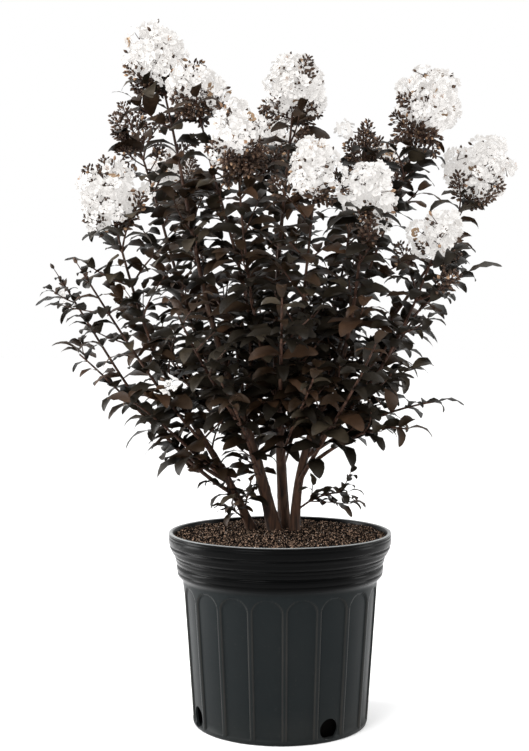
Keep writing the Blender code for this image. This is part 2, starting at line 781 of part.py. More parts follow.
def main():
    """Builds the pot, the clump's limbs and its masses of foliage."""
    clear_scene()
    bark = material("bark", BARK, 0.75)
    foliage = material("foliage", LEAF_COLOUR, 0.45)
    material("blossom", BLOSSOM_COLOUR, 0.80)
    material("buds", BUD_COLOUR, 0.60)
    make_pot(material("pot_plastic", POT_COLOUR, 0.42))
    make_soil(material("potting_mix", SOIL_COLOUR, 0.95))

    stems = {stem.name: stem for stem in STEMS}
    stem_paths = {stem.name: stem_path(stem) for stem in STEMS}
    obstacles = Obstacles()
    cutters = {}
    for stem in STEMS:
        path = stem_paths[stem.name]
        solid = add_object(stem.name, *stem_solid(stem, path), bark)
        shade_round(solid)
        obstacles.add(stem.name, *mesh_parts(solid))
        cutters[stem.name] = add_object(stem.name + "_cutter", *stem_solid(stem, path, JOINT_GAP), bark)

    paths = {leader.name: leader_path(leader, stem_paths) for leader in LEADERS}
    masses = []
    for leader in LEADERS:
        path = paths[leader.name]
        cutter = cutters[leader.stem]
        first = leader.bare
        if leader.bare > 0:
            stretch = (0.0, leader.bare, BOUGH_SIDES, bark)
            bough, _ = make_limb("bough_" + leader.name, path, leader, stems, *stretch, cutter)
            obstacles.add(bough.name, *mesh_parts(bough))
            first = leader.bare + JOINT_GAP / path.length
        stretch = (first, 1.0, TWIG_SIDES, foliage)
        axis, line = make_limb("foliage_" + leader.name, path, leader, stems, *stretch, cutter)
        masses.append(Mass(leader, path, axis, line, obstacles, list(paths.values())))
    for mass in masses:
        mass.grow()
    for mass in masses:
        mass.fuse()
    for cutter in cutters.values():
        bpy.data.objects.remove(cutter)


main()
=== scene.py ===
"""Looks of a potted crape myrtle: fluted nursery pot, bark mix, barked stems, dark leaves and white blossom.

Lengths are metres in the CAD frame: +Z is up, the pot stands on Z = 0 and -Y is the front. Stems, leading
shoots, side shoots and leaves follow the rule of the part's source, carried on here to finer twigs.
"""

from __future__ import annotations

import logging
import math
import random
from bisect import bisect_left
from dataclasses import dataclass, field
from enum import Enum

import bpy
import numpy as np
from mathutils import Matrix, Quaternion, Vector

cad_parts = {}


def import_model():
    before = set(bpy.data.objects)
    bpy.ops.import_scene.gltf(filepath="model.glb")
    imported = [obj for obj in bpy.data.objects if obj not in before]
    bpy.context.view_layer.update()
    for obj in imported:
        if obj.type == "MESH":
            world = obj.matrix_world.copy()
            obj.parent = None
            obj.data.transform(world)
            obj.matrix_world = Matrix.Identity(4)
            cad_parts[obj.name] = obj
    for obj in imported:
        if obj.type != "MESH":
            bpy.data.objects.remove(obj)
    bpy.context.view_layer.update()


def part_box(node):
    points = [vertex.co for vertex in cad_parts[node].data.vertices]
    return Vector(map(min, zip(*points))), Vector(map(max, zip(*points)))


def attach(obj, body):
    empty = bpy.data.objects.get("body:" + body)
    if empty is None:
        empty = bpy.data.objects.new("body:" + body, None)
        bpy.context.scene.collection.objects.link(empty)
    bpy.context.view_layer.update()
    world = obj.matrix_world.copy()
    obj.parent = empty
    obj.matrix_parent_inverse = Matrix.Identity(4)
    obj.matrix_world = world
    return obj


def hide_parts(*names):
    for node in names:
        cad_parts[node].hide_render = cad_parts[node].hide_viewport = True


LOG = logging.getLogger("crape_myrtle")
BODY = "root"
UP = Vector((0, 0, 1))
LEVEL = Vector((1, 1, 0))
MILLIMETRE = 0.001
GOLDEN_ANGLE = math.radians(137.5)

# Rule of growth, as in the part's source
JOINT_GAP = 0.0003
FORK_ANGLE = math.radians(38)
ROOT_CENTRE = Vector((0.0, 0.022, 0.0))
AXIS_TIP_RADIUS = 0.0011
SIDE_SHOOT_LENGTH = 0.078
SIDE_SHOOT_RADIUS = 0.0014
SIDE_SHOOT_LEAN = math.radians(50)
LEAF_LEAN = math.radians(62)
BLOOM_ASPECT = 1.12
BARE_FOOT = 0.045
LINE_POINTS = 33

# What only the looks need
WHITE = (1, 1, 1, 1)
FULL_TURNS = (6.28, 6.28, 6.28)
# Attribute that carries where the painted highlight along the pot's flute edges shows
FLUTE_EDGE_HIGHLIGHT = "edge"
TANGENT_STEP = 0.01
LEAF_TILT = 0.45
LEAF_LEVELLING = Vector((1, 1, 0.40))
STAMEN_SEED = 5
PETAL_PIECES = 3


# Node trees


class Value:
    """A number on its way through a node tree: each Python operator on it adds a Math node."""

    def __init__(self, graph: Graph, socket: bpy.types.NodeSocket) -> None:
        """Wraps an output socket.

        Args:
            graph: the node tree that the socket is in.
            socket: the output that carries the number.
        """
        self.graph = graph
        self.socket = socket

    def __add__(self, other: Value | float) -> Value:
        """The sum."""
        return self.graph.math("ADD", self, other)

    def __sub__(self, other: Value | float) -> Value:
        """The difference."""
        return self.graph.math("SUBTRACT", self, other)

    def __rsub__(self, other: float) -> Value:
        """A number less this value."""
        return self.graph.math("SUBTRACT", other, self)

    def __mul__(self, other: Value | float) -> Value:
        """The product."""
        return self.graph.math("MULTIPLY", self, other)

    def __truediv__(self, other: Value | float) -> Value:
        """The quotient."""
        return self.graph.math("DIVIDE", self, other)

    def __pow__(self, other: Value | float) -> Value:
        """The power."""
        return self.graph.math("POWER", self, other)

    def __abs__(self) -> Value:
        """The size without its sign."""
        return self.graph.math("ABSOLUTE", self)

    __radd__ = __add__


class Graph:
    """A node tree, with one method that adds any node and short forms of the few that are used most."""

    def __init__(self, tree: bpy.types.NodeTree) -> None:
        """Wraps a tree.

        Args:
            tree: the tree of a material, a world or a geometry group.
        """
        self.tree = tree

    def node(self, kind: str, settings: dict | None = None, sockets: dict | None = None) -> bpy.types.Node:
        """Adds one node.

        Args:
            kind: the node's type name.
            settings: its properties by name, set first; "stops" gives a ramp's positions and colours.
            sockets: numbers, colours, values or output sockets, by the input's name or place.

        Returns:
            The new node.
        """
        made = self.tree.nodes.new(kind)
        for name, setting in (settings or {}).items():
            if name == "stops":
                self.set_stops(made.color_ramp, setting)
            else:
                setattr(made, name, setting)
        self.feed(made, sockets or {})
        return made

    def feed(self, node: bpy.types.Node, sockets: dict) -> None:
        """Sets or links a node's inputs.

        Args:
            node: the node whose inputs are fed.
            sockets: numbers, colours, values or output sockets, by the input's name or place.
        """
        for name, given in sockets.items():
            if isinstance(given, Value):
                self.tree.links.new(given.socket, node.inputs[name])
            elif isinstance(given, bpy.types.NodeSocket):
                self.tree.links.new(given, node.inputs[name])
            else:
                node.inputs[name].default_value = given

    def set_stops(self, ramp: bpy.types.ColorRamp, stops: list[tuple[float, tuple]]) -> None:
        """Gives a ramp its stops.

        Args:
            ramp: the ramp, which has two stops when it is new.
            stops: (position, colour) from low to high.
        """
        while len(ramp.elements) < len(stops):
            ramp.elements.new(0.5)
        for element, (position, colour) in zip(ramp.elements, stops):
            element.position = position
            element.color = (*colour, 1.0)

    def math(self, operation: str, *values: Value | float) -> Value:
        """Adds a Math node.

        Args:
            operation: the node's operation.
            values: its inputs in order.

        Returns:
            The result.
        """
        node = self.node("ShaderNodeMath", {"operation": operation}, dict(enumerate(values)))
        return Value(self, node.outputs[0])

    def between(self, value: Value, low: float, high: float) -> Value:
        """A smooth step.

        Args:
            value: what is read.
            low: where the step starts.
            high: where it ends.

        Returns:
            0 below low, 1 above high and an even curve between them.
        """
        settings = {"interpolation_type": "SMOOTHSTEP"}
        sockets = {"Value": value, "From Min": low, "From Max": high}
        return Value(self, self.node("ShaderNodeMapRange", settings, sockets).outputs[0])


class GeometryTree(Graph):
    """A Geometry Nodes group with named inputs, run once on an object and taken off again."""

    def __init__(self, name: str) -> None:
        """Starts a group that takes and gives one geometry.

        Args:
            name: the group's name.
        """
        super().__init__(bpy.data.node_groups.new(name, "GeometryNodeTree"))
        for side in ("INPUT", "OUTPUT"):
            self.tree.interface.new_socket("Geometry", in_out=side, socket_type="NodeSocketGeometry")
        self.entry = self.tree.nodes.new("NodeGroupInput")
        self.identifiers = {}

    def given(self, name: str, kind: str = "Float") -> bpy.types.NodeSocket:
        """Adds a named input to the group.

        Args:
            name: the input's name.
            kind: what it holds: Float, Int, Collection or Material.

        Returns:
            The socket that gives the input inside the group.
        """
        socket = self.tree.interface.new_socket(name, in_out="INPUT", socket_type="NodeSocket" + kind)
        self.identifiers[name] = socket.identifier
        return self.entry.outputs[name]

    def named(self, name: str, kind: str = "FLOAT") -> bpy.types.NodeSocket:
        """Reads an attribute of the geometry.

        Args:
            name: the attribute's name.
            kind: its data type.

        Returns:
            The socket that carries it.
        """
        reader = self.node("GeometryNodeInputNamedAttribute", {"data_type": kind}, {"Name": name})
        return reader.outputs["Attribute"]

    def repeat(self, points: bpy.types.NodeSocket, placing: dict) -> None:
        """Ends the group with one of the forms that it is given at every point.

        Args:
            points: the socket that carries the points.
            placing: what turns and sizes the forms, by the instancing node's inputs.
        """
        forms = self.given("Forms", "Collection")
        sockets = {"Collection": forms, "Separate Children": True, "Reset Children": True}
        loose = self.node("GeometryNodeCollectionInfo", None, sockets).outputs[0]
        sockets = {"Points": points, "Instance": loose, "Pick Instance": True, **placing}
        self.close(self.node("GeometryNodeInstanceOnPoints", None, sockets).outputs[0])

    def close(self, geometry: bpy.types.NodeSocket) -> None:
        """Ends the group: realizes what it made and gives it its material.

        Args:
            geometry: the socket that carries what was made.
        """
        real = self.node("GeometryNodeRealizeInstances", None, {"Geometry": geometry})
        sockets = {"Geometry": real.outputs[0], "Material": self.given("Finish", "Material")}
        dressed = self.node("GeometryNodeSetMaterial", None, sockets)
        self.node("NodeGroupOutput", None, {"Geometry": dressed.outputs[0]})

    def run(self, obj: bpy.types.Object, **inputs: object) -> bpy.types.Object:
        """Runs the group on an object and leaves the result as its plain mesh.

        Args:
            obj: the object that the group works on.
            inputs: the named inputs, with _ for a space.

        Returns:
            The same object.
        """
        modifier = obj.modifiers.new(self.tree.name, "NODES")
        modifier.node_group = self.tree
        for name, given in inputs.items():
            modifier[self.identifiers[name.replace("_", " ")]] = given
        graph = bpy.context.evaluated_depsgraph_get()
        made = bpy.data.meshes.new_from_object(obj.evaluated_get(graph))
        obj.modifiers.clear()
        obj.data = made
        made.name = obj.name
        return obj


# Finishes


class Finish:
    """What every finish shares: a Principled shader and patterns on object coordinates."""

    def begin(self, name: str) -> tuple[bpy.types.Material, Graph]:
        """Starts a material.

        Args:
            name: the material's name.

        Returns:
            The material and its graph, whose shader is ready.
        """
        material = bpy.data.materials.new(name)
        material.use_nodes = True
        return material, Graph(material.node_tree)

    def noise(self, graph: Graph, scale: float, detail: float = 2.0, squeeze: tuple = (1, 1, 1)) -> Value:
        """A noise on object coordinates.

        Args:
            graph: the material's graph.
            scale: the pattern's cells per metre.
            detail: octaves of finer noise.
            squeeze: the scale of each axis, under 1 for a pattern drawn out along it.

        Returns:
            The noise from 0 to 1.
        """
        coordinates = graph.node("ShaderNodeTexCoord").outputs["Object"]
        mapped = graph.node("ShaderNodeMapping", None, {"Vector": coordinates, "Scale": squeeze})
        sockets = {"Vector": mapped.outputs[0], "Scale": scale, "Detail": detail}
        return Value(graph, graph.node("ShaderNodeTexNoise", None, sockets).outputs[0])

    def height(self, graph: Graph) -> Value:
        """The height above the ground, in metres."""
        coordinates = graph.node("ShaderNodeTexCoord").outputs["Object"]
        return Value(graph, graph.node("ShaderNodeSeparateXYZ", None, {"Vector": coordinates}).outputs["Z"])

    def ramp(self, graph: Graph, value: Value, stops: list[tuple[float, tuple]]) -> bpy.types.NodeSocket:
        """Colours a value.

        Args:
            graph: the material's graph.
            value: what is coloured, from 0 to 1.
            stops: (position, colour) from low to high.

        Returns:
            The colour's socket.
        """
        return graph.node("ShaderNodeValToRGB", {"stops": stops}, {0: value}).outputs["Color"]

    def mix(self, graph: Graph, share: Value, first: object, second: object) -> bpy.types.NodeSocket:
        """Mixes two colours.

        Args:
            graph: the material's graph.
            share: how much of the second shows.
            first: a colour or its socket.
            second: a colour or its socket.

        Returns:
            The colour's socket.
        """
        colours = [c if isinstance(c, bpy.types.NodeSocket) else (*c, 1.0) for c in (first, second)]
        sockets = {0: share, 6: colours[0], 7: colours[1]}
        return graph.node("ShaderNodeMix", {"data_type": "RGBA"}, sockets).outputs[2]

    def bump(self, graph: Graph, height: Value, depth: float, strength: float = 1.0) -> bpy.types.NodeSocket:
        """A bumped normal.

        Args:
            graph: the material's graph.
            height: the relief from 0 to 1.
            depth: what 1 stands for, in metres.
            strength: how far the relief shows.

        Returns:
            The normal's socket.
        """
        sockets = {"Strength": strength, "Distance": depth, "Height": height}
        return graph.node("ShaderNodeBump", None, sockets).outputs[0]

    def end(self, graph: Graph, specular: float, sockets: dict) -> None:
        """Sets the shader.

        Args:
            graph: the material's graph.
            specular: the shader's specular level.
            sockets: numbers, colours, values or output sockets, by the shader's input.
        """
        shader = graph.tree.nodes["Principled BSDF"]
        graph.feed(shader, {"Specular IOR Level": specular, **sockets})


@dataclass(frozen=True)
class PotPlastic(Finish):
    """Moulded black plastic: a polished rim, and a hazier body that is a little dusty towards its foot."""

    rim_black: tuple = (0.0012, 0.0013, 0.0014)
    body_black: tuple = (0.0070, 0.0094, 0.0104)
    dust: tuple = (0.046, 0.043, 0.038)
    # Painted highlight along the edges of the flutes
    flute_edge_highlight: tuple = (0.046, 0.041, 0.036)
    # Painted highlight along the top of the rolled lip
    lip_highlight: tuple = (0.30, 0.31, 0.31)
    specular: float = 0.032
    haze: float = 0.12
    haze_roughness: float = 0.35
    dust_height: float = 0.050
    rim_height: float = 0.186
    rim_fade: float = 0.013
    # Heights where the painted lip highlight fades in and where it is full
    lip_height: float = 0.2358
    lip_highlight_fade: float = 0.0009
    grain_depth: float = 0.00004

    def build(self) -> bpy.types.Material:
        """Makes the material."""
        material, graph = self.begin("pot_plastic_satin")
        cloud = self.noise(graph, 14, 3)
        grain = self.noise(graph, 900, 1)
        height = self.height(graph)
        low = 1 - graph.between(height, 0.0, self.dust_height)
        rim = graph.between(height, self.rim_height - self.rim_fade, self.rim_height)
        speck = graph.between(self.noise(graph, 260, 4), 0.60, 0.78)
        film = (cloud * 0.12 + low * cloud * 0.20 + speck * 0.14) * (1 - rim * 0.9)
        # Painted highlight along the edges of the flutes, from the mask that the flute tree stores
        edge = Value(graph, graph.node("ShaderNodeAttribute", {"attribute_name": FLUTE_EDGE_HIGHLIGHT}).outputs["Fac"])
        colour = self.mix(graph, film, self.mix(graph, rim, self.body_black, self.rim_black), self.dust)
        colour = self.mix(graph, edge * (cloud * 0.8 + 0.05), colour, self.flute_edge_highlight)
        # Painted highlight along the top of the lip
        top = graph.between(height, self.lip_height - self.lip_highlight_fade, self.lip_height)
        colour = self.mix(graph, top * (cloud * 0.5 + 0.5), colour, self.lip_highlight)
        sockets = {"Base Color": colour, "Sheen Weight": self.haze, "Sheen Roughness": self.haze_roughness}
        sockets["Roughness"] = cloud * 0.12 + film * 0.3 + 0.30 - rim * 0.12
        sockets["Normal"] = self.bump(graph, grain + cloud * 6, self.grain_depth)
        self.end(graph, self.specular, sockets)
        return material


@dataclass(frozen=True)
class PottingMix(Finish):
    """Dark crumbs of bark and peat, from near black to tan, with painted shade that turns them all black in
    the depth of the pot.

    One pair of heights gives where the crumbs come out of that painted shade.
    """

    name: str
    dark: tuple = (0.0012, 0.0008, 0.0006)
    middle: tuple = (0.0080, 0.0050, 0.0038)
    light: tuple = (0.12, 0.080, 0.055)
    light_from: float = 0.62
    specular: float = 0.06
    roughness: float = 0.90
    # Heights between which the painted shade in the depth of the pot gives way
    painted_shade_heights: tuple = (0.03, 0.20)
    grit_depth: float = 0.0004

    def build(self) -> bpy.types.Material:
        """Makes the material."""
        material, graph = self.begin(self.name)
        # Painted shade: low in the pot the crumbs fade to black
        lit = graph.between(self.height(graph), *self.painted_shade_heights)
        crumbs = self.noise(graph, 420) * lit
        stops = [(0.47, self.dark), (0.54, self.middle), (self.light_from, self.light)]
        sockets = {"Base Color": self.ramp(graph, crumbs, stops), "Roughness": self.roughness}
        sockets["Normal"] = self.bump(graph, self.noise(graph, 1500), self.grit_depth, 0.7)
        self.end(graph, self.specular, sockets)
        return material


@dataclass(frozen=True)
class Bark(Finish):
    """Smooth brown bark in long streaks, with paler flakes where the outer skin has peeled."""

    name: str
    brown: tuple = (0.060, 0.029, 0.017)
    shade: tuple = (0.013, 0.0068, 0.0044)
    flake: tuple = (0.115, 0.064, 0.040)
    cells: float = 210
    specular: float = 0.16
    fissure_depth: float = 0.0006

    def build(self) -> bpy.types.Material:
        """Makes the material."""
        material, graph = self.begin(self.name)
        streaks = self.noise(graph, self.cells, 3, (1, 1, 0.10))
        flakes = graph.between(self.noise(graph, self.cells * 0.3, 3, (1, 1, 0.28)), 0.54, 0.66)
        base = self.ramp(graph, streaks, [(0.40, self.shade), (0.60, self.brown)])
        colour = self.mix(graph, flakes * 0.55, base, self.flake)
        fissures = self.noise(graph, self.cells * 3, 3, (1, 1, 0.12))
        normal = self.bump(graph, fissures + streaks, self.fissure_depth, 0.8)
        sockets = {"Base Color": colour, "Normal": normal, "Roughness": streaks * 0.25 + 0.48}
        self.end(graph, self.specular, sockets)
        return material


@dataclass(frozen=True)
class LeafTint(Finish):
    """The dark, faintly glossy skin of the leaves of one spray's colour.

    share is how many sprays have the colour in the upper crown, and low_share how many in its shaded foot,
    where dealing more of the darker tints is painted shade.
    """

    name: str
    share: float
    low_share: float
    colour: tuple
    flush: tuple
    specular: float = 0.12
    vein_depth: float = 0.0005

    def build(self) -> bpy.types.Material:
        """Makes the material."""
        material, graph = self.begin("leaf_" + self.name)
        cloud = graph.between(self.noise(graph, 45), 0.35, 0.70)
        sockets = {"Base Color": self.mix(graph, cloud, self.colour, self.flush)}
        sockets["Roughness"] = cloud * 0.14 + 0.40
        sockets["Normal"] = self.bump(graph, self.noise(graph, 420), self.vein_depth, 0.5)
        self.end(graph, self.specular, sockets)
        return material


@dataclass(frozen=True)
class Petal(Finish):
    """Crinkled white petals, faintly creamy here and there.

    glow stands for the light that the thin petals let through.
    """

    name: str = "petal_white"
    white: tuple = (0.445, 0.434, 0.423)
    cream: tuple = (0.415, 0.401, 0.387)
    glow: float = 0.37
    specular: float = 0.12
    roughness: float = 0.80
    crinkle_depth: float = 0.0004

    def build(self) -> bpy.types.Material:
        """Makes the material."""
        material, graph = self.begin(self.name)
        cloud = graph.between(self.noise(graph, 70), 0.35, 0.70)
        sockets = {"Base Color": self.mix(graph, cloud, self.white, self.cream), "Roughness": self.roughness}
        sockets["Normal"] = self.bump(graph, self.noise(graph, 700), self.crinkle_depth, 0.3)
        brightest = max(self.white)
        sockets["Emission Color"] = (*(part / brightest for part in self.white), 1.0)
        sockets["Emission Strength"] = self.glow
        self.end(graph, self.specular, sockets)
        return material


@dataclass(frozen=True)
class Grain(Finish):
    """A small rough thing of one hue: a bud, a calyx or a tuft of stamens."""

    name: str
    colour: tuple
    tip: tuple
    specular: float = 0.25
    roughness: float = 0.6
    grain_depth: float = 0.0003

    def build(self) -> bpy.types.Material:
        """Makes the material."""
        material, graph = self.begin(self.name)
        cloud = graph.between(self.noise(graph, 160), 0.38, 0.66)
        sockets = {"Base Color": self.mix(graph, cloud, self.colour, self.tip), "Roughness": self.roughness}
        sockets["Normal"] = self.bump(graph, self.noise(graph, 1400, 1), self.grain_depth, 0.5)
        self.end(graph, self.specular, sockets)
        return material


@dataclass(frozen=True)
class PaleFloor(Finish):
    """The studio's plain pale floor."""

    colour: tuple = (0.93, 0.93, 0.93)
    specular: float = 0.1
    roughness: float = 0.9

    def build(self) -> bpy.types.Material:
        """Makes the material."""
        material, graph = self.begin("floor_pale")
        self.end(graph, self.specular, {"Base Color": (*self.colour, 1.0), "Roughness": self.roughness})
        return material


LEAF_TINTS = (
    LeafTint("sooty", 0.40, 0.56, (0.0090, 0.0069, 0.0045), (0.0155, 0.0120, 0.0078)),
    LeafTint("umber", 0.34, 0.29, (0.0170, 0.0098, 0.0052), (0.0350, 0.0208, 0.0118)),
    LeafTint("maroon", 0.12, 0.05, (0.0320, 0.0168, 0.0090), (0.0520, 0.0280, 0.0154)),
    LeafTint("ash", 0.14, 0.10, (0.0205, 0.0158, 0.0100), (0.0480, 0.0370, 0.0240)),
)


# Meshes


def place_in_scene(name: str, data: bpy.types.ID) -> bpy.types.Object:
    """Makes an object of a mesh, a light or a camera and links it to the scene."""
    obj = bpy.data.objects.new(name, data)
    bpy.context.scene.collection.objects.link(obj)
    return obj


def add_mesh(name: str, points: np.ndarray, faces: list,
             finish: bpy.types.Material | None = None) -> bpy.types.Object:
    """Makes an object in the scene from points and faces.

    Args:
        name: the object's name.
        points: its points, a row each.
        faces: its faces as tuples of point numbers.
        finish: its material, or None.

    Returns:
        The object, shaded smooth.
    """
    mesh = bpy.data.meshes.new(name)
    mesh.from_pydata(np.asarray(points, float).tolist(), [], faces)
    mesh.shade_smooth()
    if finish is not None:
        mesh.materials.append(finish)
    return place_in_scene(name, mesh)


def around(side: Vector, across: Vector, turn: float) -> Vector:
    """The direction at an angle from side towards across."""
    return side * math.cos(turn) + across * math.sin(turn)


def ring_faces(rows: int, columns: int, first: int = 0) -> list[tuple]:
    """Faces of a skin whose points are stored row by row, each row a ring.

    Args:
        rows: the number of rings.
        columns: the points of each ring.
        first: the number of the first point.

    Returns:
        The faces, outwards where the rings run anticlockwise and upwards.
    """
    faces = []
    for row in range(rows - 1):
        for column in range(columns):
            after = (column + 1) % columns
            low = first + row * columns
            high = low + columns
            faces.append((low + column, low + after, high + after, high + column))
    return faces


def closed_faces(rows: int, columns: int, first: int = 0) -> list[tuple]:
    """Faces of a skin of rings whose first and last ring are closed with one flat face each.

    Args:
        rows: the number of rings.
        columns: the points of each ring.
        first: the number of the first point.

    Returns:
        The faces, outwards as in ring_faces.
    """
    last = first + (rows - 1) * columns
    ends = [tuple(reversed(range(first, first + columns))), tuple(range(last, last + columns))]
    return ring_faces(rows, columns, first) + ends


def tipped_faces(rows: int, columns: int) -> list[tuple]:
    """Faces of a skin of rings that is closed with triangles to a point at each end.

    Args:
        rows: the number of rings.
        columns: the points of each ring; the two end points are stored after the last ring.

    Returns:
        The faces, outwards as in ring_faces.
    """
    faces = ring_faces(rows, columns)
    low_tip = rows * columns
    last = low_tip - columns
    for column in range(columns):
        after = (column + 1) % columns
        faces.append((low_tip, after, column))
        faces.append((low_tip + 1, last + column, last + after))
    return faces


def settle(piece: bpy.types.Object, nodes: list[str]) -> None:
    """Puts a finished piece on its body and in place of its CAD nodes, and reports it.

    Args:
        piece: the finished object.
        nodes: the CAD nodes that it stands for, or none.
    """
    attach(piece, BODY)
    if nodes:
        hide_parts(*nodes)
    piece.data.calc_loop_triangles()
    LOG.info("%s: %d triangles", piece.name, len(piece.data.loop_triangles))


# Pot


@dataclass
class Pot:
    """The round nursery pot: a rolled rim, two bands, arched flutes and four drain holes."""

    height: float
    rim_radius: float
    flutes: int = 18
    columns_a_flute: int = 32
    flute_depth: float = 0.0022
    arch_top: float = 0.1722
    arch_rise: float = 0.0165
    panel_share: float = 0.445
    arch_fade: float = 0.0015
    flute_foot: tuple = (0.0048, 0.0070)
    edge_width: float = 0.0013
    first_rib: float = math.radians(2.0)
    wall: float = 0.0026
    hole_radius: float = 0.0125
    hole_height: float = 0.0156
    hole_flutes: tuple = (1, 5, 10, 14)
    hole_sides: int = 28
    # How far from the pot's axis the drills start and end
    drill_reach: tuple = (0.085, 0.130)
    sharp_from: float = math.radians(50)
    # Insets from the rim's outer edge and drops below the top, in millimetres: the rolled lip and the rim
    rim: tuple = (
        (2.9, 0.0), (1.2, 0.1), (0.4, 0.5), (0.1, 1.3), (0.3, 2.0), (1.0, 2.5), (1.0, 3.4), (0.35, 4.0),
        (0.2, 4.9), (0.6, 5.6), (0.55, 6.3), (0.1, 7.0), (0.0, 8.2), (0.2, 13.2), (0.6, 14.2), (1.5, 14.9),
        (2.6, 15.7), (2.6, 16.6), (1.9, 17.2), (1.4, 17.9), (1.6, 18.7),
    )
    # The stepped skirt below the rim, and the collar
    collar: tuple = (
        (2.6, 20.6), (3.6, 22.2), (3.5, 22.8), (5.0, 24.6), (4.9, 25.2), (6.6, 27.2), (7.5, 28.2),
        (8.3, 28.8), (8.3, 29.6), (7.8, 30.2), (8.2, 32.4), (8.7, 33.0), (8.5, 33.6), (9.2, 36.2),
        (9.9, 37.8), (11.2, 38.6), (11.9, 39.6), (11.6, 40.6), (10.4, 41.3),
    )
    # The second band and the taper to the body
    band: tuple = (
        (9.9, 42.0), (10.2, 46.6), (10.9, 47.3), (11.0, 48.1), (10.5, 48.7), (10.8, 51.2), (11.8, 53.0),
        (14.0, 55.4), (16.4, 57.8), (17.5, 59.8), (17.7, 61.6), (17.7, 63.4),
    )
    foot: tuple = ((30.4, 233.4), (31.0, 235.0), (32.4, 236.0))
    # The inside, from its shoulder up to the lip
    inner_wall: tuple = ((22.5, 62.0), (6.8, 15.0), (5.4, 2.0), (4.3, 0.4))
    floor_height: float = 0.0030
    body_foot_inset: float = 0.0302
    # Rings of the body: close together where the arches end, and then wider apart down to the foot
    arch_clearance: float = 0.0010
    arch_rings: int = 11
    arch_ring_step: float = 0.0017
    lower_rings: tuple = (0.1480, 0.1340, 0.1180, 0.1020, 0.0860, 0.0700, 0.0540, 0.0400, 0.0280, 0.0160,
                          0.0072, 0.0050)

    def __post_init__(self) -> None:
        """Counts the points of a ring and works out the angle from rib to rib."""
        self.columns = self.flutes * self.columns_a_flute
        self.pitch = 2 * math.pi / self.flutes

    def rings_at(self, insets: tuple) -> list[tuple[float, float]]:
        """Radius and height of the rings given by their insets and drops."""
        outer, top = self.rim_radius, self.height
        return [(outer - inset * MILLIMETRE, top - drop * MILLIMETRE) for inset, drop in insets]

    def outline(self) -> list[tuple[float, float]]:
        """Radius and height of every ring of the outside, from the rim down to the foot."""
        upper = self.rings_at(self.rim + self.collar + self.band)
        top_radius, top_height = upper[-1]
        foot_radius = self.rim_radius - self.body_foot_inset
        highest = self.arch_top - self.arch_clearance
        heights = [highest - ring * self.arch_ring_step for ring in range(self.arch_rings)]
        body = []
        for height in heights + list(self.lower_rings):
            share = height / top_height
            body.append((foot_radius + (top_radius - foot_radius) * share, height))
        return upper + body + self.rings_at(self.foot)

    def inside(self) -> list[tuple[float, float]]:
        """Radius and height of every ring of the inside, from the floor up to the rim."""
        foot_radius = self.rim_radius - self.body_foot_inset - self.flute_depth - self.wall
        return [(foot_radius, self.floor_height)] + self.rings_at(self.inner_wall)

    def shell(self) -> bpy.types.Object:
        """The smooth shell, before its flutes and holes."""
        rings = self.outline()[::-1] + self.inside()[::-1]
        angles = self.first_rib + np.arange(self.columns) * (2 * math.pi / self.columns)
        points = []
        for radius, height in rings:
            heights = np.full(self.columns, height)
            points.append(np.stack([radius * np.sin(angles), -radius * np.cos(angles), heights], 1))
        return add_mesh("pot_shell", np.concatenate(points), closed_faces(len(rings), self.columns))

    def flute_tree(self) -> GeometryTree:
        """The tree that sinks the arched flutes into the body's wall."""
        tree = GeometryTree("pot_flutes")
        depth, edge = (Value(tree, tree.given(name)) for name in ("Flute depth", "Edge width"))
        place = tree.node("GeometryNodeInputPosition").outputs[0]
        parts = tree.node("ShaderNodeSeparateXYZ", None, {"Vector": place})
        x, y, z = (Value(tree, socket) for socket in parts.outputs)
        radius = (x * x + y * y) ** 0.5
        angle = tree.math("ARCTAN2", x, y * -1) - self.first_rib
        off_middle = abs(tree.math("FLOORED_MODULO", angle, self.pitch) - self.pitch / 2) * radius
        spring = self.arch_top - self.arch_rise
        rise = tree.math("MAXIMUM", z - spring, 0.0) / self.arch_rise
        arch = tree.math("MAXIMUM", 1 - rise * rise, 0.0) ** 0.5
        half_panel = arch * radius * (self.panel_share * self.pitch)
        inwards = tree.math("DIVIDE", half_panel - off_middle, edge)
        smooth = tree.between(inwards, 0.0, 1.0)
        below_arch = 1 - tree.between(z, self.arch_top - self.arch_fade, self.arch_top)
        above_foot = tree.between(z, *self.flute_foot)
        outer = Value(tree, tree.named("outside"))
        sunk = smooth * below_arch * above_foot * outer * depth / radius
        move = tree.node("ShaderNodeCombineXYZ", None, {"X": x * sunk * -1, "Y": y * sunk * -1})
        sockets = {"Geometry": tree.entry.outputs["Geometry"], "Offset": move.outputs[0]}
        fluted = tree.node("GeometryNodeSetPosition", None, sockets).outputs[0]
        # Where the painted highlight along the edges of the flutes shows
        flute_edge_highlight = (1 - tree.math("MINIMUM", abs(inwards), 1.0)) * below_arch * above_foot * outer
        sockets = {"Geometry": fluted, "Name": FLUTE_EDGE_HIGHLIGHT, "Value": flute_edge_highlight}
        settings = {"data_type": "FLOAT", "domain": "POINT"}
        tree.close(tree.node("GeometryNodeStoreNamedAttribute", settings, sockets).outputs[0])
        return tree

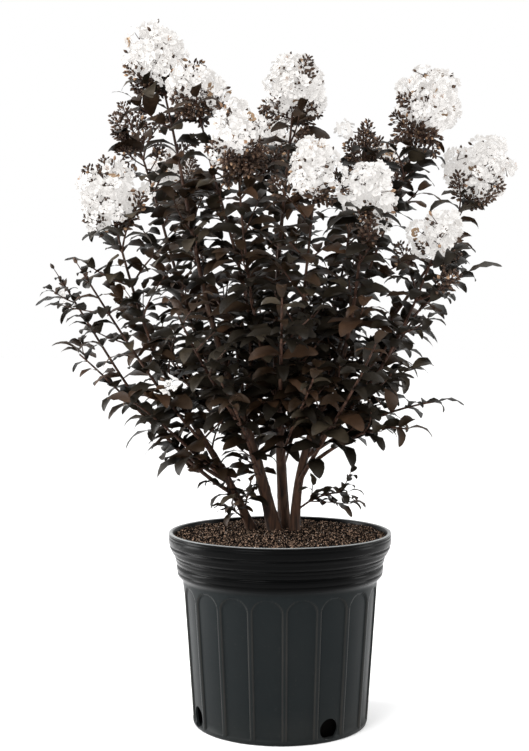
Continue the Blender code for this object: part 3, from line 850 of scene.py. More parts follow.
    def drill(self, shell: bpy.types.Object) -> None:
        """Cuts the drain holes through the wall at the feet of four flutes.

        Args:
            shell: the pot's closed shell.
        """
        points, faces = [], []
        for flute in self.hole_flutes:
            angle = self.first_rib + (flute + 0.5) * 2 * math.pi / self.flutes
            out = Vector((math.sin(angle), -math.cos(angle), 0))
            across = UP.cross(out)
            faces += closed_faces(len(self.drill_reach), self.hole_sides, len(points))
            for reach in self.drill_reach:
                for side in range(self.hole_sides):
                    rim = around(across, UP, 2 * math.pi * side / self.hole_sides)
                    points.append(out * reach + rim * self.hole_radius + UP * self.hole_height)
        drill = add_mesh("drain_drill", np.array(points), faces, shell.data.materials[0])
        boolean = shell.modifiers.new("drain", "BOOLEAN")
        boolean.object = drill
        graph = bpy.context.evaluated_depsgraph_get()
        cut = bpy.data.meshes.new_from_object(shell.evaluated_get(graph))
        shell.modifiers.clear()
        shell.data = cut
        bpy.data.objects.remove(drill)

    def build(self) -> None:
        """Makes the pot and puts it in place."""
        shell = self.shell()
        outside = shell.data.attributes.new("outside", "FLOAT", "POINT")
        outer_rings = len(self.outline())
        shares = np.zeros(len(shell.data.vertices), np.float32)
        shares[: outer_rings * self.columns] = 1.0
        outside.data.foreach_set("value", shares)
        tree = self.flute_tree()
        finish = PotPlastic().build()
        tree.run(shell, Flute_depth=self.flute_depth, Edge_width=self.edge_width, Finish=finish)
        self.drill(shell)
        shell.data.shade_smooth()
        shell.data.set_sharp_from_angle(angle=self.sharp_from)
        settle(shell, ["pot"])


# Soil


@dataclass
class Soil:
    """The bark mix in the pot: a dark crumbly bed, covered with loose chips from near black to tan."""

    crown_height: float
    crown_radius: float = 0.066
    edge_height: float = 0.2322
    edge_radius: float = 0.1314
    floor_height: float = 0.0033
    floor_radius: float = 0.0970
    shoulder_height: float = 0.1700
    shoulder_radius: float = 0.1145
    rings: int = 34
    columns: int = 120
    crumble: float = 0.0020
    dark_chips: float = 140000
    pale_chips: float = 15000
    chip_sizes: tuple = (0.0020, 0.0054)
    pale_sizes: tuple = (0.0018, 0.0040)
    chip_stretches: tuple = ((1.0, 0.70, 0.65), (0.9, 0.85, 0.75), (1.25, 0.55, 0.50))
    seed: int = 11

    def bed(self) -> bpy.types.Object:
        """The bed: its uneven top, and its hidden sides down to the pot's floor."""
        rng = np.random.default_rng(self.seed)
        rows = [(self.floor_radius, self.floor_height, 0.0)]
        rows.append((self.shoulder_radius, self.shoulder_height, 0.0))
        slope = self.edge_radius - self.crown_radius
        for ring in range(self.rings, 0, -1):
            radius = ring / self.rings * self.edge_radius
            fall = max(0.0, (radius - self.crown_radius) / slope)
            height = self.crown_height + (self.edge_height - self.crown_height) * fall
            rows.append((radius, height - self.crumble, self.crumble))
        angles = np.arange(self.columns) * (2 * math.pi / self.columns)
        points = []
        for radius, height, crumble in rows:
            rough = height + rng.uniform(-crumble, crumble, self.columns)
            points.append(np.stack([radius * np.cos(angles), radius * np.sin(angles), rough], 1))
        points.append(np.array([[0, 0, self.floor_height], [0, 0, self.crown_height - self.crumble]]))
        faces = tipped_faces(len(rows), self.columns)
        return add_mesh("soil_bed", np.concatenate(points), faces, PottingMix("potting_mix_bed").build())

    def chip_forms(self) -> bpy.types.Collection:
        """Three rough chips of eight faces each, about a unit across."""
        rng = np.random.default_rng(self.seed)
        ends = np.array([(0, 0, -1), (1, 0, 0), (0, 1, 0), (-1, 0, 0), (0, -1, 0), (0, 0, 1)]) / 2
        waist = ((1, 2), (2, 3), (3, 4), (4, 1))
        faces = [(0, after, before) for before, after in waist]
        faces += [(5, before, after) for before, after in waist]
        forms = []
        for index, stretch in enumerate(self.chip_stretches):
            points = ends * rng.uniform(0.80, 1.15, (6, 1)) * np.array(stretch)
            points += rng.uniform(-0.08, 0.08, (6, 3))
            forms.append(add_mesh(f"chip_form_{index}", points, faces))
            forms[-1].data.shade_flat()
        return forms_of("chip_forms", forms)

    def chip_tree(self) -> GeometryTree:
        """The tree that strews chips over the top of the bed."""
        tree = GeometryTree("soil_chips")
        density, low, high = (tree.given(name) for name in ("Chips a square metre", "Smallest", "Largest"))
        seed = tree.given("Seed", "Int")
        place = tree.node("GeometryNodeInputPosition").outputs[0]
        z = Value(tree, tree.node("ShaderNodeSeparateXYZ", None, {"Vector": place}).outputs["Z"])
        on_top = tree.math("GREATER_THAN", z, self.edge_height - 3 * self.crumble)
        bed = tree.entry.outputs["Geometry"]
        sockets = {"Mesh": bed, "Density": density, "Seed": seed, "Selection": on_top}
        strewn = tree.node("GeometryNodeDistributePointsOnFaces", None, sockets)
        sockets = {"Max": FULL_TURNS, "Seed": seed}
        turned = tree.node("FunctionNodeRandomValue", {"data_type": "FLOAT_VECTOR"}, sockets)
        sized = tree.node("FunctionNodeRandomValue", {"data_type": "FLOAT"}, {2: low, 3: high, "Seed": seed})
        tree.repeat(strewn.outputs[0], {"Rotation": turned.outputs[0], "Scale": sized.outputs[1]})
        return tree

    def build(self) -> None:
        """Makes the bed and the two kinds of chip."""
        bed = self.bed()
        forms, tree = self.chip_forms(), self.chip_tree()
        dark = PottingMix("bark_chip_dark", middle=(0.013, 0.0080, 0.0058), light=(0.34, 0.225, 0.158))
        greys = (0.030, 0.020, 0.014), (0.20, 0.145, 0.108), (0.70, 0.60, 0.52)
        pale = PottingMix("bark_chip_pale", *greys, light_from=0.64)
        kinds = (("soil_chips_dark", dark, self.dark_chips, self.chip_sizes),
                 ("soil_chips_pale", pale, self.pale_chips, self.pale_sizes))
        settle(bed, ["soil"])
        for number, (name, finish, density, sizes) in enumerate(kinds):
            chips = place_in_scene(name, bed.data.copy())
            tree.run(chips, Chips_a_square_metre=density, Smallest=sizes[0], Largest=sizes[1],
                     Seed=self.seed + number, Forms=forms, Finish=finish.build())
            settle(chips, [])


# Lines of the clump


class Ending(Enum):
    """What a leading shoot bears at its tip."""

    BLOOM = "bloom"
    BUDS = "buds"
    LEAVES = "leaves"


@dataclass(frozen=True)
class Stem:
    """One stem of the clump, from its foot in the soil to its top.

    bow is how far its middle sags outwards, and bare_to the height that its own leafy twigs start from.
    flare is how much wider its foot is, and flare_share how soon that fades along it.
    """

    name: str
    foot: tuple
    top: tuple
    foot_radius: float
    top_radius: float
    bow: float
    bare_to: float = 0.330
    flare: float = 0.28
    flare_share: float = 0.07

    def radius(self, share: float) -> float:
        """The radius at a share of the length, with a flare at the foot."""
        taper = self.foot_radius + (self.top_radius - self.foot_radius) * share
        return taper * (1 + self.flare * math.exp(-share / self.flare_share))


@dataclass(frozen=True)
class Leader:
    """One leading shoot, from the stem that it leaves to its tip.

    leaves_at is the share of the stem's length, 1 for the shoot that runs on from its top. rise is the angle
    above level of its last stretch, in degrees. bare is the share that is bough, bloom its head's radius and
    budding how much of the head is still in bud. vigour scales its side shoots and leaves, and branching is
    the share of the usual side shoots that it has.
    """

    name: str
    stem: str
    leaves_at: float
    tip: tuple
    rise: float
    ending: Ending
    bare: float = 0.0
    bloom: float = 0.0
    budding: float = 0.15
    vigour: float = 1.0
    branching: float = 1.0


BLOOM, BUDS, LEAVES = Ending.BLOOM, Ending.BUDS, Ending.LEAVES

STEMS = (
    Stem("stem_left", (-0.036, 0.014), (-0.108, -0.004, 0.370), 0.0056, 0.0032, -0.004, 0.256),
    Stem("stem_main", (-0.007, 0.004), (-0.060, -0.028, 0.420), 0.0080, 0.0048, -0.004, 0.312),
    Stem("stem_centre", (0.006, 0.027), (-0.004, 0.000, 0.440), 0.0075, 0.0044, 0.000),
    Stem("stem_right", (0.018, 0.003), (0.056, -0.026, 0.400), 0.0060, 0.0042, -0.012),
    Stem("stem_back_left", (-0.012, 0.040), (-0.070, 0.086, 0.400), 0.0052, 0.0038, -0.014),
    Stem("stem_back_right", (0.021, 0.038), (0.072, 0.078, 0.400), 0.0052, 0.0038, -0.018),
    Stem("stem_back", (0.003, 0.055), (0.004, 0.112, 0.415), 0.0052, 0.0038, -0.004),
)

LEADERS = (
    Leader("top_left", "stem_main", 1.0, (-0.1540, -0.020, 0.822), 74, BLOOM, 0.32, 0.034, 0.14),
    Leader("upper_left", "stem_main", 0.80, (-0.1000, -0.080, 0.773), 82, BLOOM, 0.30, 0.029, 0.42),
    Leader("left_buds", "stem_back_left", 1.0, (-0.200, 0.060, 0.770), 66, BUDS, 0.32),
    Leader("left_bloom", "stem_left", 1.0, (-0.2100, -0.050, 0.650), 74, BLOOM, 0.28, 0.036, 0.06),
    Leader("centre_left", "stem_centre", 0.76, (-0.0520, -0.118, 0.708), 82, BLOOM, 0.32, 0.034, 0.40),
    Leader("centre_top", "stem_centre", 1.0, (0.019, 0.020, 0.794), 84, BLOOM, 0.30, 0.038, 0.20),
    Leader("centre_front", "stem_right", 0.72, (0.0379, -0.134, 0.672), 76, BLOOM, 0.32, 0.031, 0.12),
    Leader("centre_right", "stem_right", 1.0, (0.1005, -0.126, 0.645), 70, BLOOM, 0.28, 0.031, 0.14),
    Leader("right_buds", "stem_back_right", 0.80, (0.113, 0.050, 0.745), 82, BUDS, 0.34),
    Leader("top_right", "stem_right", 0.86, (0.1811, -0.020, 0.766), 76, BLOOM, 0.34, 0.040, 0.20),
    Leader("far_right", "stem_back_right", 1.0, (0.2560, 0.030, 0.690), 68, BLOOM, 0.32, 0.037, 0.18),
    Leader("low_bloom", "stem_right", 0.62, (0.1885, -0.090, 0.599), 70, BLOOM, 0.32, 0.026, 0.10),
    Leader("far_left", "stem_left", 0.30, (-0.274, 0.000, 0.550), 57, BUDS, branching=0.25),
    Leader("mid_left", "stem_left", 0.72, (-0.232, -0.095, 0.552), 55, BUDS, branching=0.3),
    Leader("mid_right", "stem_back_right", 0.66, (0.215, 0.100, 0.560), 55, LEAVES, 0.30, branching=0.7),
    Leader("low_right", "stem_right", 0.52, (0.192, -0.020, 0.398), 8, LEAVES, branching=0.0),
    Leader("droop_right", "stem_right", 0.42, (0.154, -0.050, 0.366), -12, LEAVES, branching=0.2),
    Leader("foot_right", "stem_right", 0.12, (0.084, -0.006, 0.284), -6, LEAVES, vigour=0.66, branching=1.4),
    Leader("back_left", "stem_back_left", 0.78, (-0.145, 0.182, 0.705), 74, BLOOM, 0.32, 0.035, 0.20),
    Leader("back_centre", "stem_back", 1.0, (-0.010, 0.198, 0.752), 80, BLOOM, 0.30, 0.037, 0.60),
    Leader("back_right", "stem_back", 0.78, (0.146, 0.188, 0.714), 74, BLOOM, 0.32, 0.035, 0.70),
    Leader("back_low_left", "stem_back_left", 0.60, (-0.200, 0.140, 0.530), 50, BUDS, branching=0.6),
    Leader("back_low_right", "stem_back_right", 0.48, (0.175, 0.180, 0.500), 45, LEAVES, branching=0.6),
    Leader("back_low", "stem_back", 0.60, (-0.030, 0.240, 0.545), 50, LEAVES),
    Leader("front_low_left", "stem_main", 0.60, (-0.115, -0.170, 0.500), 48, LEAVES, branching=0.4),
    Leader("front_low", "stem_centre", 0.60, (0.000, -0.190, 0.520), 50, LEAVES, branching=0.75),
    Leader("front_low_right", "stem_right", 0.34, (0.105, -0.175, 0.470), 48, LEAVES, branching=0.25),
    Leader("side_low_left", "stem_left", 0.46, (-0.175, -0.080, 0.400), 30, LEAVES, branching=0.05),
    Leader("skirt_left", "stem_main", 0.34, (-0.068, -0.150, 0.425), 30, LEAVES, vigour=0.8, branching=0.3),
    Leader("skirt_front", "stem_centre", 0.40, (0.036, -0.150, 0.43), 35, LEAVES, vigour=0.8, branching=0.4),
    Leader("skirt_back", "stem_back", 0.36, (0.050, 0.215, 0.440), 35, LEAVES, vigour=0.8, branching=0.4),
)

# Thin shoots at the crown's outside and underside that have no solid of their own
LOW_SHOOTS = (
    Leader("reach_back", "stem_back", 0.70, (0.030, 0.260, 0.505), 35, LEAVES, branching=0.5),
    Leader("reach_left", "stem_left", 0.42, (-0.252, 0.012, 0.456), 40, LEAVES, branching=0.2),
    Leader("reach_right", "stem_back_right", 0.74, (0.238, 0.020, 0.560), 30, LEAVES, branching=0.15),
    Leader("low_left", "stem_left", 0.36, (-0.076, -0.012, 0.322), -8, LEAVES, vigour=0.74, branching=0.3),
    Leader("lower_left", "stem_left", 0.20, (-0.084, 0.002, 0.294), -15, LEAVES, vigour=0.62, branching=0.5),
    Leader("low_middle", "stem_main", 0.30, (-0.040, 0.030, 0.320), 0, LEAVES, vigour=0.60, branching=0.5),
    Leader("foot_left", "stem_left", 0.06, (-0.070, -0.006, 0.268), 12, LEAVES, vigour=0.60, branching=1.2),
    Leader("foot_middle", "stem_left", 0.14, (-0.036, -0.020, 0.30), 50, LEAVES, vigour=0.62, branching=0.9),
)

# Small tufts of blossom away from the heads: where each hangs
STRAY_BLOSSOMS = (
    (-0.131, -0.100, 0.423), (-0.163, -0.020, 0.657), (0.080, 0.000, 0.737), (0.120, -0.090, 0.610),
    (-0.271, -0.010, 0.529),
)


def curve(start: Vector, first_handle: Vector, last_handle: Vector, tip: Vector,
          count: int = LINE_POINTS) -> list[Vector]:
    """Points along a cubic curve.

    Args:
        start: its start.
        first_handle: the handle that it sets out towards.
        last_handle: the handle that it arrives from.
        tip: its end.
        count: the number of points.

    Returns:
        The points in order.
    """
    points = []
    for index in range(count):
        t = index / (count - 1)
        near_start = start * (1 - t) ** 3 + first_handle * (3 * t * (1 - t) ** 2)
        points.append(near_start + last_handle * (3 * t * t * (1 - t)) + tip * t**3)
    return points


def bowed(start: Vector, tip: Vector, bow: float, count: int = LINE_POINTS) -> list[Vector]:
    """Points along a curve whose middle sags away from the clump.

    Args:
        start: its start.
        tip: its end.
        bow: how far its middle sags.
        count: the number of points.

    Returns:
        The points in order.
    """
    chord = tip - start
    outwards = (tip - ROOT_CENTRE) * LEVEL
    sag = outwards - chord * (outwards.dot(chord) / chord.length_squared)
    shift = sag.normalized() * (bow * 4 / 3)
    return curve(start, start + chord / 3 + shift, tip - chord / 3 + shift, tip, count)


class Path:
    """A limb's line, read by the share of its length."""

    def __init__(self, points: list[Vector]) -> None:
        """Measures the line.

        Args:
            points: its points in order.
        """
        self.points = points
        self.reached = [0.0]
        for before, after in zip(points, points[1:]):
            self.reached.append(self.reached[-1] + (after - before).length)
        self.length = self.reached[-1]

    def at(self, share: float) -> Vector:
        """The point at a share of the length."""
        wanted = min(max(share, 0.0), 1.0) * self.length
        index = min(max(bisect_left(self.reached, wanted), 1), len(self.points) - 1)
        span = self.reached[index] - self.reached[index - 1]
        return self.points[index - 1].lerp(self.points[index], (wanted - self.reached[index - 1]) / span)

    def along(self, share: float) -> Vector:
        """The unit direction at a share of the length."""
        ahead, behind = min(share + TANGENT_STEP, 1.0), max(share - TANGENT_STEP, 0.0)
        return (self.at(ahead) - self.at(behind)).normalized()

    def between(self, first: float, last: float, spacing: float) -> list[Vector]:
        """Evenly spaced points of one stretch.

        Args:
            first: the share where the stretch starts.
            last: the share where it ends.
            spacing: about how far apart the points are.

        Returns:
            The points in order, at least three.
        """
        count = max(3, round(self.length * (last - first) / spacing) + 1)
        return [self.at(first + (last - first) * index / (count - 1)) for index in range(count)]


def level_side(along: Vector) -> Vector:
    """The level direction square to a shoot."""
    side = along.cross(UP)
    return side.normalized() if side.length > 1e-3 else Vector((1, 0, 0))


@dataclass
class Clump:
    """The lines of all stems and leading shoots, and the space that each shoot has to itself.

    running_on and forking are a shoot's radius at its foot as a share of its stem's there.
    """

    soil_top: float
    stems: dict[str, Stem] = field(default_factory=lambda: {stem.name: stem for stem in STEMS})
    slack: float = 0.012
    running_on: float = 0.92
    forking: float = 0.62
    taper: float = 0.8

    def __post_init__(self) -> None:
        """Works out every line."""
        self.stem_paths = {stem.name: self.stem_path(stem) for stem in STEMS}
        self.leader_paths = {leader.name: self.leader_path(leader) for leader in LEADERS + LOW_SHOOTS}
        lines = [path.points[::2] for path in self.leader_paths.values()]
        self.marks = np.array([[tuple(point) for point in line] for line in lines])

    def stem_path(self, stem: Stem) -> Path:
        """The line of a stem."""
        foot = Vector((*stem.foot, self.soil_top + JOINT_GAP))
        return Path(bowed(foot, Vector(stem.top), stem.bow))

    def leader_path(self, leader: Leader) -> Path:
        """The line of a leading shoot, from inside its stem or from its stem's top.

        Args:
            leader: the shoot.

        Returns:
            Its line.
        """
        path = self.stem_paths[leader.stem]
        tip = Vector(leader.tip)
        start = path.at(leader.leaves_at)
        along = path.along(leader.leaves_at)
        chord = tip - start
        if leader.leaves_at == 1.0:
            start = start + along * JOINT_GAP
            setting_out = along
        else:
            away = (chord - along * chord.dot(along)).normalized()
            setting_out = around(along, away, FORK_ANGLE)
        ending = around((chord * LEVEL).normalized(), UP, math.radians(leader.rise))
        handle = chord.length / 3
        return Path(curve(start, start + setting_out * handle, tip - ending * handle, tip))

    def leader_radius(self, leader: Leader, share: float) -> float:
        """A leading shoot's radius at a share of its length."""
        part = self.running_on if leader.leaves_at == 1.0 else self.forking
        foot = self.stems[leader.stem].radius(leader.leaves_at) * part * leader.vigour**2
        return foot + (AXIS_TIP_RADIUS - foot) * share**self.taper

    def in_own_space(self, name: str, point: Vector) -> bool:
        """Tells whether a point is nearer to one shoot's line than to any other's, or almost.

        Args:
            name: the shoot's name.
            point: the point.

        Returns:
            True where the shoot may grow.
        """
        away = np.linalg.norm(self.marks - np.array(point), axis=2).min(axis=1)
        own = away[list(self.leader_paths).index(name)]
        return bool(own <= away.min() + self.slack)


# Bark


@dataclass
class Limbs:
    """The barked stems and boughs: their flutes, leaf scars and the swelling where one leaves another."""

    clump: Clump
    sides: int = 20
    spacing: float = 0.0030
    sunk: float = 0.0030
    sunk_swell: float = 1.05
    ridges: float = 0.050
    scar_spacing: float = 0.034
    scar_swell: float = 0.09
    scar_width: float = 0.0028
    collar_swell: float = 0.45
    collar_length: float = 0.0075

    def skin(self, centres: list[Vector], radii: list[float], rng: random.Random) -> tuple[np.ndarray, list]:
        """Points and faces of one limb.

        Args:
            centres: the limb's line.
            radii: its radius at each point.
            rng: the limb's own random numbers.

        Returns:
            Its points and faces, both ends closed.
        """
        phases = [rng.uniform(0, 2 * math.pi) for _ in range(4)]
        angles = np.arange(self.sides) * (2 * math.pi / self.sides)
        points = []
        normal = None
        last = len(centres) - 1
        reached = 0.0
        for index, centre in enumerate(centres):
            along = (centres[min(index + 1, last)] - centres[max(index - 1, 0)]).normalized()
            normal = along.orthogonal().normalized() if normal is None else normal
            normal = (normal - along * normal.dot(along)).normalized()
            across = along.cross(normal)
            reached += (centre - centres[max(index - 1, 0)]).length
            relief = self.ridges * np.sin(3 * angles + phases[0] + 9 * reached)
            relief += 0.5 * self.ridges * np.sin(7 * angles + phases[1] - 21 * reached)
            past_scar = (reached + phases[2] * 0.01) % self.scar_spacing - self.scar_spacing / 2
            swell = self.scar_swell * math.exp(-((past_scar / self.scar_width) ** 2))
            relief += swell * (0.6 + 0.4 * np.cos(2 * angles + phases[3]))
            reach = radii[index] * (1 + relief)
            ring = np.outer(reach * np.cos(angles), normal) + np.outer(reach * np.sin(angles), across)
            points.append(ring + np.array(centre))
        points.append(np.array([centres[0], centres[-1]]))
        return np.concatenate(points), tipped_faces(len(centres), self.sides)

    def join(self, name: str, skins: list[tuple[np.ndarray, list]], finish: Finish) -> bpy.types.Object:
        """Joins limbs to one piece.

        Args:
            name: the piece's name.
            skins: points and faces of each limb.
            finish: the bark.

        Returns:
            The piece.
        """
        faces, first = [], 0
        for points, own_faces in skins:
            faces.extend(tuple(first + number for number in face) for face in own_faces)
            first += len(points)
        return add_mesh(name, np.concatenate([points for points, _ in skins]), faces, finish.build())

    def stem_skin(self, stem: Stem) -> tuple[np.ndarray, list]:
        """Points and faces of one stem, its foot sunk a little into the soil."""
        path = self.clump.stem_paths[stem.name]
        centres = path.between(0.0, 1.0, self.spacing)
        radii = [stem.radius(index / (len(centres) - 1)) for index in range(len(centres))]
        centres.insert(0, centres[0] - UP * self.sunk)
        radii.insert(0, radii[0] * self.sunk_swell)
        return self.skin(centres, radii, random.Random(stem.name))

    def bough_skin(self, leader: Leader) -> tuple[np.ndarray, list]:
        """Points and faces of one bough, swollen where it leaves its stem."""
        path = self.clump.leader_paths[leader.name]
        centres = path.between(0.0, leader.bare, self.spacing)
        radii = []
        for index in range(len(centres)):
            share = leader.bare * index / (len(centres) - 1)
            radius = self.clump.leader_radius(leader, share)
            if leader.leaves_at < 1.0:
                past_fork = share * path.length / self.collar_length
                radius *= 1 + self.collar_swell * math.exp(-(past_fork**2))
            radii.append(radius)
        return self.skin(centres, radii, random.Random(leader.name + "_bough"))

    def build(self) -> None:
        """Makes the stems and the boughs."""
        stems = self.join("stems", [self.stem_skin(stem) for stem in STEMS], Bark("bark_stem"))
        settle(stems, [stem.name for stem in STEMS])
        barked = [leader for leader in LEADERS if leader.bare > 0]
        boughs = self.join("boughs", [self.bough_skin(leader) for leader in barked], Bark("bark_bough"))
        settle(boughs, ["bough_" + leader.name for leader in barked])


# Forms that repeat


@dataclass(frozen=True)
class LeafForm:
    """One leaf a unit long: its midrib rises and then arches over, and its margins are wavy.

    rise is the angle of its root above its own direction and bend how far the midrib turns down, in degrees.
    """

    width: float
    rise: float
    bend: float
    fold: float
    wave: float
    twist: float
    # Shares of the length where it is cut across, and of the half width where each cut has a point
    stations: tuple = (0.0, 0.07, 0.20, 0.36, 0.53, 0.70, 0.85, 0.95, 1.0)
    spread: tuple = (-1.0, -0.52, 0.0, 0.52, 1.0)
    # The outline's curves towards the root and the tip, and where it is widest
    root_curve: float = 0.66
    tip_curve: float = 0.72
    widest_at: float = 0.48

    def half_width(self, t: float) -> float:
        """Half the width at a share of the length."""
        widest = self.widest_at**self.root_curve * (1 - self.widest_at) ** self.tip_curve
        return self.width / 2 * t**self.root_curve * (1 - t) ** self.tip_curve / widest

    def mesh(self, name: str) -> bpy.types.Object:
        """The leaf, from its root at the origin along Y, its upper face up."""
        points = []
        y = z = before = 0.0
        for t in self.stations:
            slope = math.radians(self.rise - self.bend * ((t + before) / 2) ** 1.2)
            y += (t - before) * math.cos(slope)
            z += (t - before) * math.sin(slope)
            before = t
            half = self.half_width(t)
            turn = self.twist * t
            for side in (0.0,) if t in (0.0, 1.0) else self.spread:
                ripple = self.wave * half * side * side * math.sin(17 * t + 1.9 * side)
                lift = self.fold * half * abs(side) + ripple
                x = side * half * math.cos(turn) - lift * math.sin(turn)
                lift = side * half * math.sin(turn) + lift * math.cos(turn)
                points.append((x, y - lift * math.sin(slope), z + lift * math.cos(slope)))
        across = len(self.spread)
        last = len(points) - 1 - across
        faces = [(0, i + 1, i) for i in range(1, across)]
        for low in range(1, last, across):
            high = low + across
            faces += [(low + i, low + i + 1, high + i + 1, high + i) for i in range(across - 1)]
        faces += [(last + i, last + i + 1, last + across) for i in range(across - 1)]
        return add_mesh(name, np.array(points), faces)


@dataclass(frozen=True)
class FlowerForm:
    """One flower a unit across: six petals, each a narrow claw with a round, ruffled blade."""

    rise: float
    ruffle: float
    seed: int
    petals: int = 6
    blade_points: int = 6
    # Reach of a blade's two rings, and how much of the ruffle each has
    blade_rings: tuple = ((0.09, 0.35), (0.19, 1.0))

    def mesh(self, name: str) -> bpy.types.Object:
        """The flower, centred on the origin, facing up."""
        rng = random.Random(self.seed)
        points, faces = [], []
        for petal in range(self.petals):
            turn = 2 * math.pi * (petal + rng.uniform(-0.16, 0.16)) / self.petals
            rise = self.rise + rng.uniform(-0.22, 0.22)
            out = Vector((math.cos(turn), math.sin(turn), 0))
            across = Vector((-math.sin(turn), math.cos(turn), 0))
            up = around(UP, -out, rise)
            out = around(out, UP, rise)
            first = len(points)
            points += [across * -0.02, across * 0.02, out * 0.16 + across * 0.03, out * 0.16 - across * 0.03]
            faces.append((first + 3, first + 2, first + 1, first))
            centre = out * 0.33
            for reach, size in self.blade_rings:
                for step in range(self.blade_points):
                    wave = self.ruffle * size * rng.uniform(-1, 1)
                    edge = reach * rng.uniform(0.66, 1.20)
                    rim = around(out, across, 2 * math.pi * step / self.blade_points)
                    points.append(centre + rim * edge + up * wave)
            middle = len(points)
            points.append(centre - up * 0.03)
            inner, outer = first + 4, first + 4 + self.blade_points
            for step in range(self.blade_points):
                after = (step + 1) % self.blade_points
                faces.append((middle, inner + step, inner + after))
                faces.append((inner + step, outer + step, outer + after, inner + after))
        return add_mesh(name, np.array([tuple(point) for point in points]), faces)


def bud_form(name: str) -> bpy.types.Object:
    """A plump bud a unit long, along Z from the origin, of four sides."""
    sides = 4
    profile = ((0.0, 0.10), (0.30, 0.34), (0.64, 0.32), (1.0, 0.05))
    turns = [2 * math.pi * side / sides for side in range(sides)]
    points = [(radius * math.cos(turn), radius * math.sin(turn), z)
              for z, radius in profile for turn in turns]
    return add_mesh(name, np.array(points), closed_faces(len(profile), sides))


def stamen_form(name: str) -> bpy.types.Object:
    """A tuft of seven curved stamens, a unit long, spreading from the origin about Z."""
    rng = random.Random(STAMEN_SEED)
    rings = ((0.0, 0.02), (0.55, 0.02), (0.85, 0.06), (1.0, 0.03))
    points, faces = [], []
    for stamen in range(7):
        turn = GOLDEN_ANGLE * stamen
        out = Vector((math.cos(turn), math.sin(turn), 0))
        across = Vector((-math.sin(turn), math.cos(turn), 0))
        lean = rng.uniform(0.25, 0.75)
        faces += closed_faces(len(rings), 3, len(points))
        for reach, thick in rings:
            centre = out * (lean * reach * reach) + UP * (reach * 0.9)
            points += [centre + across * thick, centre + out * thick, centre - across * thick]
    return add_mesh(name, np.array([tuple(point) for point in points]), faces)


def forms_of(name: str, objects: list[bpy.types.Object]) -> bpy.types.Collection:
    """A collection outside the scene that holds forms to be repeated.

    Args:
        name: the collection's name.
        objects: the forms, in the order of their numbers.

    Returns:
        The collection.
    """
    forms = bpy.data.collections.new(name)
    for form in objects:
        bpy.context.scene.collection.objects.unlink(form)
        forms.objects.link(form)
    return forms


class Places:
    """Where one kind of form is repeated: a place, a turn, a size and a form's number each."""

    def __init__(self) -> None:
        """Starts with none."""
        self.rows = []

    def add(self, place: Vector, along: Vector, face: Vector, size: float, form: int) -> None:
        """Adds one place.

        Args:
            place: where the form's origin goes.
            along: where its Y axis points.
            face: where its Z axis points, as nearly as it can.
            size: its size in metres.
            form: the form's number.
        """
        along = along.normalized()
        side = along.cross(face).normalized()
        up = side.cross(along)
        turn = Matrix((side, along, up)).transposed().to_quaternion()
        self.rows.append((*place, *turn, size, form))

    def part(self, first: int, step: int) -> Places:
        """Every step-th place from the first, as its own set."""
        chosen = Places()
        chosen.rows = self.rows[first::step]
        return chosen

    def cloud(self, name: str) -> bpy.types.Object:
        """The places as loose points that carry their turn, size and form."""
        table = np.array(self.rows, np.float32).reshape(-1, 9)
        mesh = bpy.data.meshes.new(name)
        mesh.vertices.add(len(table))
        mesh.vertices.foreach_set("co", table[:, :3].ravel())
        columns = {"turn": (3, 7, "QUATERNION"), "size": (7, 8, "FLOAT"), "form": (8, 9, "INT")}
        for label, (first, end, kind) in columns.items():
            values = table[:, first:end].ravel()
            attribute = mesh.attributes.new(label, kind, "POINT")
            attribute.data.foreach_set("value", values.astype(np.int32) if kind == "INT" else values)
        return place_in_scene(name, mesh)


class Twigs:
    """Lines of shoots and stalks, each with its thickness along the way."""

    def __init__(self) -> None:
        """Starts with none."""
        self.points = []
        self.edges = []
        self.radii = []

    def add(self, points: list[Vector], radii: list[float]) -> None:
        """Adds one line.

        Args:
            points: its points in order.
            radii: its radius at each point.
        """
        first = len(self.points)
        self.points.extend(tuple(point) for point in points)
        self.radii.extend(radii)
        self.edges.extend((first + i, first + i + 1) for i in range(len(points) - 1))

    def lines(self, name: str) -> bpy.types.Object:
        """The lines as a mesh of edges that carries their thickness."""
        mesh = bpy.data.meshes.new(name)
        mesh.from_pydata(self.points, self.edges, [])
        thickness = mesh.attributes.new("thickness", "FLOAT", "POINT")
        thickness.data.foreach_set("value", np.array(self.radii, np.float32))
        return place_in_scene(name, mesh)


def repeat_tree() -> GeometryTree:
    """The tree that puts a numbered form at every point, with the point's turn and size."""
    tree = GeometryTree("repeat_forms")
    placing = {"Instance Index": tree.named("form", "INT"), "Rotation": tree.named("turn", "QUATERNION"),
               "Scale": tree.named("size")}
    tree.repeat(tree.entry.outputs["Geometry"], placing)
    return tree


def twig_tree() -> GeometryTree:
    """The tree that makes a round shoot of every line of edges, as thick as its points say."""
    tree = GeometryTree("round_shoots")
    sides = tree.given("Sides", "Int")
    lines = tree.node("GeometryNodeMeshToCurve", None, {"Mesh": tree.entry.outputs["Geometry"]})
    ring = tree.node("GeometryNodeCurvePrimitiveCircle", None, {"Resolution": sides, "Radius": 1.0})
    sockets = {"Curve": lines.outputs[0], "Profile Curve": ring.outputs[0], "Fill Caps": True,
               "Scale": tree.named("thickness")}
    shoots = tree.node("GeometryNodeCurveToMesh", None, sockets).outputs[0]
    tree.close(tree.node("GeometryNodeSetShadeSmooth", None, {"Geometry": shoots}).outputs[0])
    return tree


# Crown


